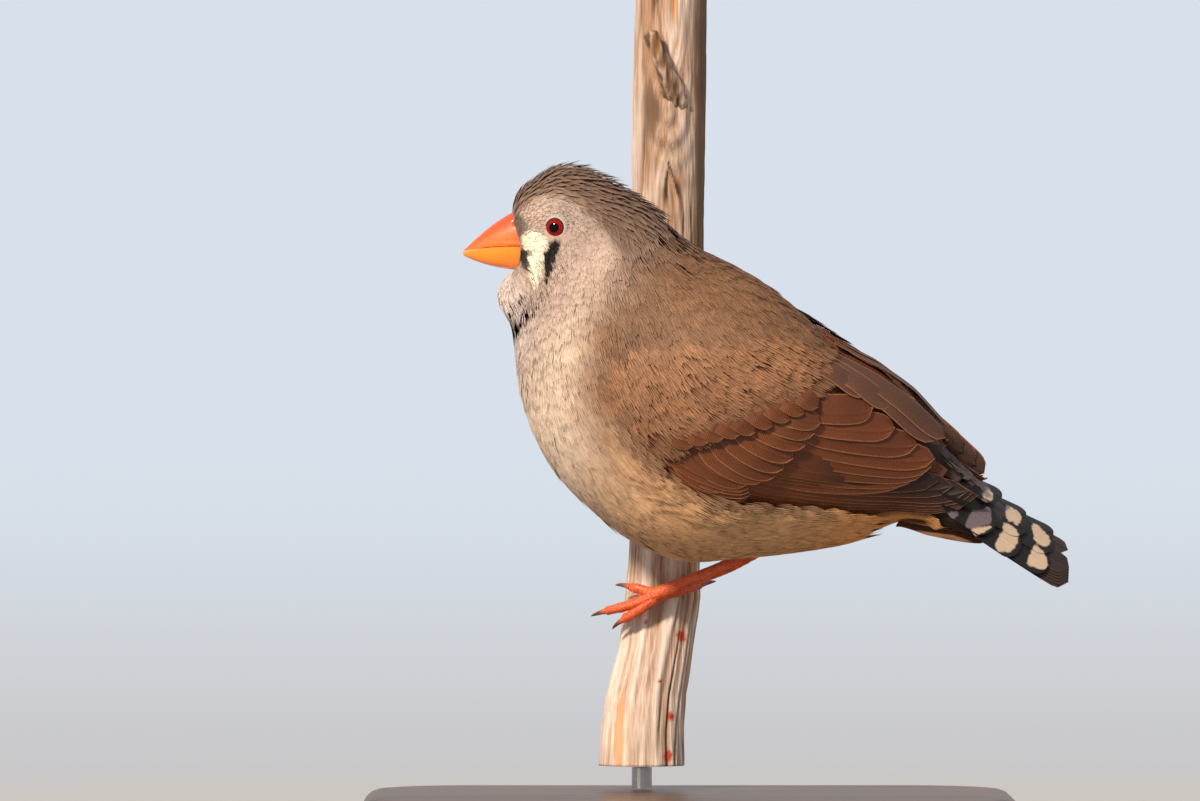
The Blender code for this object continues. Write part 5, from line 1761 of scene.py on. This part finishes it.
class FINCH_OT_legs(bpy.types.Operator):
    """Make the scaled legs and toes, and the claws as pieces of their own."""

    bl_idname = "finch.legs"
    bl_label = "Legs and Claws"

    def execute(self, context):
        settings = context.scene.finch_legs
        skin = self.leg_material(tuple(settings.skin))
        horn = self.claw_material(tuple(settings.claw))
        scute = settings.scute / MM
        for side, data in LEGS.items():
            forms = [limb(data["shank"], (1.45, 1.35, 1.05, 0.95, 1.10), pads=0.0, scute=1.1)]
            claws = []
            for toe, curl in zip(data["toes"], data["curl"]):
                radii = np.linspace(0.88, 0.62, len(toe))
                forms.append(limb(toe, radii, 22, 22, 0.09, scute))
                end = Vector(toe[-1])
                ahead = (end - Vector(toe[-2])).normalized()
                bend = Vector(curl).normalized()
                start = end + ahead * 0.30
                path = [start, start + ahead * 0.60, start + ahead * 1.10 + bend * 0.35,
                        start + ahead * 1.35 + bend * 0.85, start + ahead * 1.25 + bend * 1.50]
                claws.append(limb([tuple(p) for p in path], (0.44, 0.36, 0.27, 0.18, 0.05), 16, 6,
                                  0.0, 50.0))
            points, faces, coords = join_forms(forms)
            leg = make_piece("leg_skin_" + side, points, faces, skin)
            self.map_scales(leg, coords)
            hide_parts("leg_" + side)
            points, faces, coords = join_forms(claws)
            claw = make_piece("claws_" + side, points, faces, horn)
            self.map_scales(claw, coords)
            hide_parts(*["claw_%s_%d" % (side, number) for number in (1, 2, 3, 4)])
        return {"FINISHED"}

    def map_scales(self, piece, coords):
        """A UV map that runs round and along each limb."""
        face_outward(piece.data)
        paint_maps(piece.data, {"scales": np.array(coords)})

    def leg_material(self, hue):
        """Waxy orange skin with scute edges and a paler, drier bloom."""
        material, tree, shader = new_material("scaled_skin", 0.36, 0.5)
        bloom = noise(tree, place_on(tree), 900.0, 4.0)
        fine = add_node(tree, "ShaderNodeTexVoronoi", Vector=place_on(tree), Scale=2600.0)
        fine.feature = "DISTANCE_TO_EDGE"
        deep = scaled(hue, 0.80, 0.52, 0.42)
        seams = calc(tree, "MULTIPLY", fine.outputs["Distance"], 5.0)
        seams.node.use_clamp = True
        colour = mixed(tree, calc(tree, "MULTIPLY_ADD", seams, -0.45, 0.45),
                       ramp(tree, bloom, (0.30, deep), (0.66, hue)), scaled(deep, 0.35))
        feed(tree, shader, Base_Color=colour, Subsurface_Weight=0.15,
             Roughness=calc(tree, "MULTIPLY_ADD", bloom, 0.30, 0.22),
             Subsurface_Radius=(0.0010, 0.0003, 0.0001))
        emboss(tree, shader, seams, 0.55, 0.00008)
        return material

    def claw_material(self, hue):
        """Dark horn that pales toward the toe, with fine streaks."""
        material, tree, shader = new_material("claw_horn_fine", 0.32, 0.5)
        split = add_node(tree, "ShaderNodeSeparateXYZ", Vector=uv_map(tree, "scales"))
        reach = calc(tree, "DIVIDE", split.outputs["Y"], 2.2)
        streak = noise(tree, place_on(tree), 3000.0)
        share = calc(tree, "MULTIPLY_ADD", streak, 0.4, reach)
        feed(tree, shader, Base_Color=ramp(tree, share, (0.2, lit(176, 92, 52)), (0.75, hue)))
        return material


# Rust-red specks on the branch as seen: x, z on the bird's middle plane, size.
SPECKS = [(-1.2, 31.9, 0.9), (-2.8, 20.3, 0.8), (-3.2, 14.6, 0.8), (-4.4, 25.5, 0.35),
          (-1.0, 44.5, 0.4), (-0.2, 39.0, 0.3), (-6.4, 34.2, 0.3)]
KNOT = (-3.0, 108.6)


class FINCH_OT_branch(bpy.types.Operator):
    """Make the weathered branch, its split grain and the stub of a side twig."""

    bl_idname = "finch.branch"
    bl_label = "Dead Branch"

    def execute(self, context):
        settings = context.scene.finch_branch
        relief = settings.relief / MM
        rows, around = 330, 150
        z = np.linspace(BRANCH[0][0], BRANCH[-1][0], rows)[:, None]
        turn = np.linspace(-math.pi, math.pi, around, endpoint=False)[None, :]
        table = np.array(BRANCH)
        x0 = np.interp(z, table[:, 0], table[:, 1])
        y0 = np.interp(z, table[:, 0], table[:, 2])
        radius = np.interp(z, table[:, 0], table[:, 3]) / 2.0 - 0.12
        knot_turn = math.atan2(-1.0, (KNOT[0] - -2.85) / 5.0)
        off = (turn - knot_turn + math.pi) % (2.0 * math.pi) - math.pi
        rise = (z - KNOT[1]) / 9.0
        near = np.exp(-(off / 0.75) ** 2 - rise ** 2)
        bent = turn + 0.55 * near * np.sign(off) * np.exp(-np.abs(off) * 0.8)
        bent = bent + 0.10 * np.sin(z / 19.0)
        flat = np.stack(np.broadcast_arrays(5.3 * np.cos(bent), 5.3 * np.sin(bent), z), axis=-1)
        long_grain = lumps(flat / np.array([1.0, 1.0, 26.0]), 0.50, 2)
        fine_grain = lumps(flat / np.array([1.0, 1.0, 18.0]), 0.24, 4)
        broad = lumps(flat / np.array([1.0, 1.0, 9.0]), 2.6, 6)
        split = 1.0 - np.abs(lumps(flat / np.array([1.0, 1.0, 22.0]), 1.25, 11))
        broken = lumps(flat / np.array([1.0, 1.0, 5.0]), 3.4, 13)
        crack_and_shade = band(split, 0.86, 0.985) * band(broken, -0.35, 0.3)
        swell = 0.75 * np.exp(-(off / 0.6) ** 2 - ((z - KNOT[1] + 1.0) / 7.0) ** 2)
        ring = 0.22 * np.sin(3.2 * np.hypot(off * 5.3, (z - KNOT[1]) * 0.55)) * near
        out = radius + relief * (0.9 * broad + 0.55 * long_grain + 0.35 * fine_grain - 1.5 * crack_and_shade)
        out = out + swell + ring
        grid = np.stack([x0 + out * np.cos(turn), y0 + out * np.sin(turn),
                         np.broadcast_to(z, out.shape)], axis=-1)
        seen_x, seen_z = seen_at(grid)
        speck = np.zeros(out.shape)
        front = band(np.sin(turn), 0.0, -0.3)
        for x, height, size in SPECKS:
            ragged = 0.35 * lumps(grid, 0.5, 31)
            away = np.hypot(seen_x - x, (seen_z - height) * 0.8) / size
            speck = np.maximum(speck, band(away + ragged, 1.0, 0.5) * front)
        pale = np.clip(0.5 + 0.45 * long_grain + 0.35 * broad + 0.25 * fine_grain, 0.0, 1.0)
        high = band(z, 70.0, 95.0)
        # Painted shade: the right side of the upper branch, turned from the key light, is darkened and
        # takes the crack colour.
        edge = band(np.cos(turn), 0.72, 0.95) * high
        pale = np.clip(pale - 0.22 * high - 0.8 * edge, 0.0, 1.0)
        crack_and_shade = np.maximum(crack_and_shade, 0.6 * edge)
        marks = np.stack(np.broadcast_arrays(pale, crack_and_shade, speck), axis=-1)
        points = with_ends(grid)
        marks = np.vstack([marks.reshape(-1, 3), [[0.5, 0.1, 0.0]] * 2])
        faces = ring_faces(rows, around)
        stub_points, stub_faces, _ = limb(TWIG, (2.5, 1.75, 1.25, 1.10), 48, 24, 0.0, 50.0)
        stub = np.array(stub_points)
        rough = lumps(stub / np.array([1.0, 1.0, 4.0]), 0.5, 17)
        middle = np.array([np.interp(stub[:, 2], [p[2] for p in TWIG], [p[k] for p in TWIG])
                           for k in range(3)]).T
        stub = stub + (stub - middle) * (0.16 * rough)[:, None]
        shift = len(points)
        faces += [tuple(k + shift for k in face) for face in stub_faces]
        # Painted shade: the stub is darkened with the crack colour, most in its hollows.
        stub_marks = np.stack([np.clip(0.12 + 0.3 * rough, 0.0, 1.0),
                               np.clip(0.45 - 0.6 * rough, 0.0, 0.8), 0.0 * rough], axis=-1)
        branch = make_piece("branch", np.vstack([points, stub]), faces,
                            self.wood(settings))
        face_outward(branch.data)
        paint_points(branch.data, "grain", np.vstack([marks, stub_marks]))
        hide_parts("perch")
        return {"FINISHED"}

    def wood(self, settings):
        """Sun-bleached wood: pale ridges, brown hollows, cracks and painted shade, ochre streaks,
        specks.
        """
        material, tree, shader = new_material("weathered_wood", 0.86, 0.2)
        paint = add_node(tree, "ShaderNodeSeparateColor", Color=painted(tree, "grain"))
        pale, crack_and_shade, speck = paint.outputs[:3]
        along = place_on(tree, (1.0, 1.0, 0.045))
        fibre = noise(tree, along, 3600.0, 3.0)
        share = calc(tree, "ADD", calc(tree, "MULTIPLY_ADD", fibre, 0.9, -0.45), pale)
        share.node.use_clamp = True
        colour = mixed(tree, share, tuple(settings.grain), tuple(settings.pale))
        ochre = soft_step(tree, noise(tree, along, 420.0), 0.60, 0.68, 0.75)
        colour = mixed(tree, ochre, colour, tuple(settings.ochre))
        cloud = noise(tree, place_on(tree), 160.0, 3.0)
        colour = toned(tree, colour, calc(tree, "MULTIPLY_ADD", cloud, 0.7, 0.62))
        # Cracks and painted shade take the crack colour.
        colour = mixed(tree, crack_and_shade, colour, tuple(settings.crack_and_shade))
        feed(tree, shader, Base_Color=mixed(tree, speck, colour, tuple(settings.rust)))
        emboss(tree, shader, fibre, 0.7, 0.00022)
        return material


class FINCH_OT_stand(bpy.types.Operator):
    """Make the rounded wooden base and finish the steel rod that holds the branch."""

    bl_idname = "finch.stand"
    bl_label = "Stand"

    def execute(self, context):
        settings = context.scene.finch_branch
        long_, wide, high = BASE_SIZE
        profile = [(0.0, 1.0), (0.25, 0.35), (0.9, 0.0), (high - 2.6, 0.0), (high - 1.9, 0.12),
                   (high - 1.1, 0.55), (high - 0.45, 1.25), (high - 0.08, 2.3), (high, 3.4)]
        rings = []
        for z, inset in profile:
            corner = 16.0 - inset
            for quarter in range(4):
                cx = (long_ / 2 - 16.0) * (1 if quarter in (0, 3) else -1)
                cy = (wide / 2 - 16.0) * (1 if quarter in (0, 1) else -1)
                for step in range(17):
                    a = math.radians(90.0 * quarter + 90.0 * step / 16.0)
                    rings.append((cx + corner * math.cos(a), cy + corner * math.sin(a), z))
        around = 68
        faces = [tuple(range(around))[::-1]]
        faces += ring_faces(len(profile), around, ends=False)
        faces.append(tuple((len(profile) - 1) * around + k for k in range(around)))
        base = make_piece("stand_plinth", rings, faces, self.walnut(tuple(settings.stand)))
        face_outward(base.data)
        base.data.set_sharp_from_angle(angle=math.radians(50.0))
        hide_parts("stand_base")
        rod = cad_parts["stand_rod"]
        rod.data.materials.clear()
        rod.data.materials.append(self.steel())
        return {"FINISHED"}

    def walnut(self, hue):
        """Dark, lightly oiled wood with long grain and fine pores."""
        material, tree, shader = new_material("walnut_base", 0.42, 0.4)
        along = place_on(tree, (0.09, 1.0, 1.0))
        grain = noise(tree, along, 260.0, 5.0, 0.6)
        pores = noise(tree, along, 2600.0)
        colour = ramp(tree, grain, (0.35, scaled(hue, 0.40)), (0.68, scaled(hue, 1.25)))
        colour = toned(tree, colour, calc(tree, "MULTIPLY_ADD", pores, 0.4, 0.8))
        feed(tree, shader, Base_Color=colour, Coat_Weight=0.25, Coat_Roughness=0.3)
        emboss(tree, shader, pores, 0.3, 0.0001)
        return material

    def steel(self):
        """Brushed steel with fine turned lines."""
        material, tree, shader = new_material("brushed_rod", 0.35, 0.5)
        lines = noise(tree, place_on(tree, (0.05, 0.05, 1.0)), 6000.0)
        colour = ramp(tree, lines, (0.0, (0.32, 0.31, 0.30)), (1.0, (0.62, 0.61, 0.60)))
        feed(tree, shader, Base_Color=colour, Metallic=1.0,
             Roughness=calc(tree, "MULTIPLY_ADD", lines, 0.3, 0.2))
        return material


class FINCH_OT_stage(bpy.types.Operator):
    """Set the pale floor, the soft background, the warm side light and the camera."""

    bl_idname = "finch.stage"
    bl_label = "Stage"

    def execute(self, context):
        stage = context.scene.finch_stage
        self.floor(stage)
        self.background(stage)
        sun = bpy.data.lights.new("key_light", "SUN")
        sun.energy = stage.key
        sun.color = tuple(stage.key_colour)
        sun.angle = math.radians(8.0)
        lamp = add_object("key_light", sun)
        lamp.rotation_euler = Vector((0.46, 0.68, -0.57)).to_track_quat("-Z", "Y").to_euler()
        lens = bpy.data.cameras.new("camera")
        lens.sensor_width = 36.0
        lens.lens = 36.0 * CAMERA_AWAY / VIEW_WIDTH
        lens.clip_start = 0.05
        lens.clip_end = 20.0
        camera = add_object("camera", lens)
        camera.location = (CAMERA_X * MM, (BODY_Y - CAMERA_AWAY) * MM, CAMERA_Z * MM)
        camera.rotation_euler = (math.radians(90.0), 0.0, 0.0)
        context.scene.camera = camera
        context.scene.view_settings.view_transform = "Standard"
        return {"FINISHED"}

    def floor(self, stage):
        """A round pale floor that fades out at its rim."""
        rings, around = 24, 96
        points, faces = [(0.0, 0.0, -0.02)], []
        for r in range(1, rings + 1):
            for k in range(around):
                a = 2.0 * math.pi * k / around
                reach = 420.0 * r / rings
                points.append((reach * math.cos(a), reach * math.sin(a), -0.02))
        for k in range(around):
            j = (k + 1) % around
            faces.append((0, 1 + k, 1 + j))
            for r in range(rings - 1):
                a, b = 1 + r * around, 1 + (r + 1) * around
                faces.append((a + k, b + k, b + j, a + j))
        mesh = bpy.data.meshes.new("floor")
        mesh.from_pydata([tuple(v * MM for v in p) for p in points], [], faces)
        material, tree, shader = new_material("pale_floor", 0.9, 0.1)
        place = place_on(tree)
        hue = tuple(stage.floor)
        grain = calc(tree, "MULTIPLY", noise(tree, place, 300.0, 3.0), 0.3)
        away = tree.nodes.new("ShaderNodeVectorMath")
        away.operation = "LENGTH"
        tree.links.new(place, away.inputs[0])
        feed(tree, shader, Base_Color=mixed(tree, grain, hue, scaled(hue, 0.9)),
             Alpha=soft_step(tree, away.outputs["Value"], 0.41, 0.16))
        mesh.materials.append(material)
        add_object("floor", mesh)

    def background(self, stage):
        """A plain backdrop by direction, and even light for all else."""
        world = bpy.data.worlds.new("studio")
        world.use_nodes = True
        bpy.context.scene.world = world
        tree = world.node_tree
        tree.nodes.clear()
        output = tree.nodes.new("ShaderNodeOutputWorld")
        place = tree.nodes.new("ShaderNodeTexCoord")
        split = add_node(tree, "ShaderNodeSeparateXYZ", Vector=place.outputs["Generated"])
        height = soft_step(tree, split.outputs["Z"], -0.046, -0.002)
        colour = mixed(tree, height, tuple(stage.low), tuple(stage.high))
        shown = add_node(tree, "ShaderNodeBackground", Color=colour)
        soft = add_node(tree, "ShaderNodeBackground", Color=(0.93, 0.96, 1.0, 1.0),
                        Strength=stage.fill)
        path = tree.nodes.new("ShaderNodeLightPath")
        choose = tree.nodes.new("ShaderNodeMixShader")
        tree.links.new(path.outputs["Is Camera Ray"], choose.inputs[0])
        tree.links.new(soft.outputs[0], choose.inputs[1])
        tree.links.new(shown.outputs[0], choose.inputs[2])
        feed(tree, output, Surface=choose.outputs[0])


class FINCH_PT_builder(bpy.types.Panel):
    """Buttons and settings for each part of the finch."""

    bl_label = "Zebra Finch"
    bl_idname = "FINCH_PT_builder"
    bl_space_type = "VIEW_3D"
    bl_region_type = "UI"
    bl_category = "Finch"

    def draw(self, context):
        scene = context.scene
        for group, label in SETTINGS.items():
            box = self.layout.box()
            box.label(text=label)
            holder = getattr(scene, group)
            for name in holder.bl_rna.properties.keys():
                if name not in ("rna_type", "name"):
                    box.prop(holder, name)
        for operator in OPERATORS:
            self.layout.operator(operator.bl_idname)


SETTINGS = {
    "finch_plumage": "Plumage",
    "finch_wings": "Wings",
    "finch_tail": "Tail",
    "finch_bill": "Bill",
    "finch_eyes": "Eyes",
    "finch_legs": "Legs",
    "finch_branch": "Branch and Stand",
    "finch_stage": "Stage",
}
GROUPS = (FinchPlumage, FinchWings, FinchTail, FinchBill, FinchEyes, FinchLegs, FinchBranch,
          FinchStage)
OPERATORS = (FINCH_OT_stage, FINCH_OT_skin, FINCH_OT_coat, FINCH_OT_wings, FINCH_OT_tail,
             FINCH_OT_bill, FINCH_OT_eyes, FINCH_OT_legs, FINCH_OT_branch, FINCH_OT_stand)


def register():
    for item in (*GROUPS, *OPERATORS, FINCH_PT_builder):
        bpy.utils.register_class(item)
    for name, group in zip(SETTINGS, GROUPS):
        setattr(bpy.types.Scene, name, bpy.props.PointerProperty(type=group))


def unregister():
    for name in SETTINGS:
        delattr(bpy.types.Scene, name)
    for item in reversed((*GROUPS, *OPERATORS, FINCH_PT_builder)):
        bpy.utils.unregister_class(item)


def main():
    register()
    for operator in OPERATORS:
        group, action = operator.bl_idname.split(".")
        getattr(getattr(bpy.ops, group), action)()


if __name__ == "__main__":
    main()
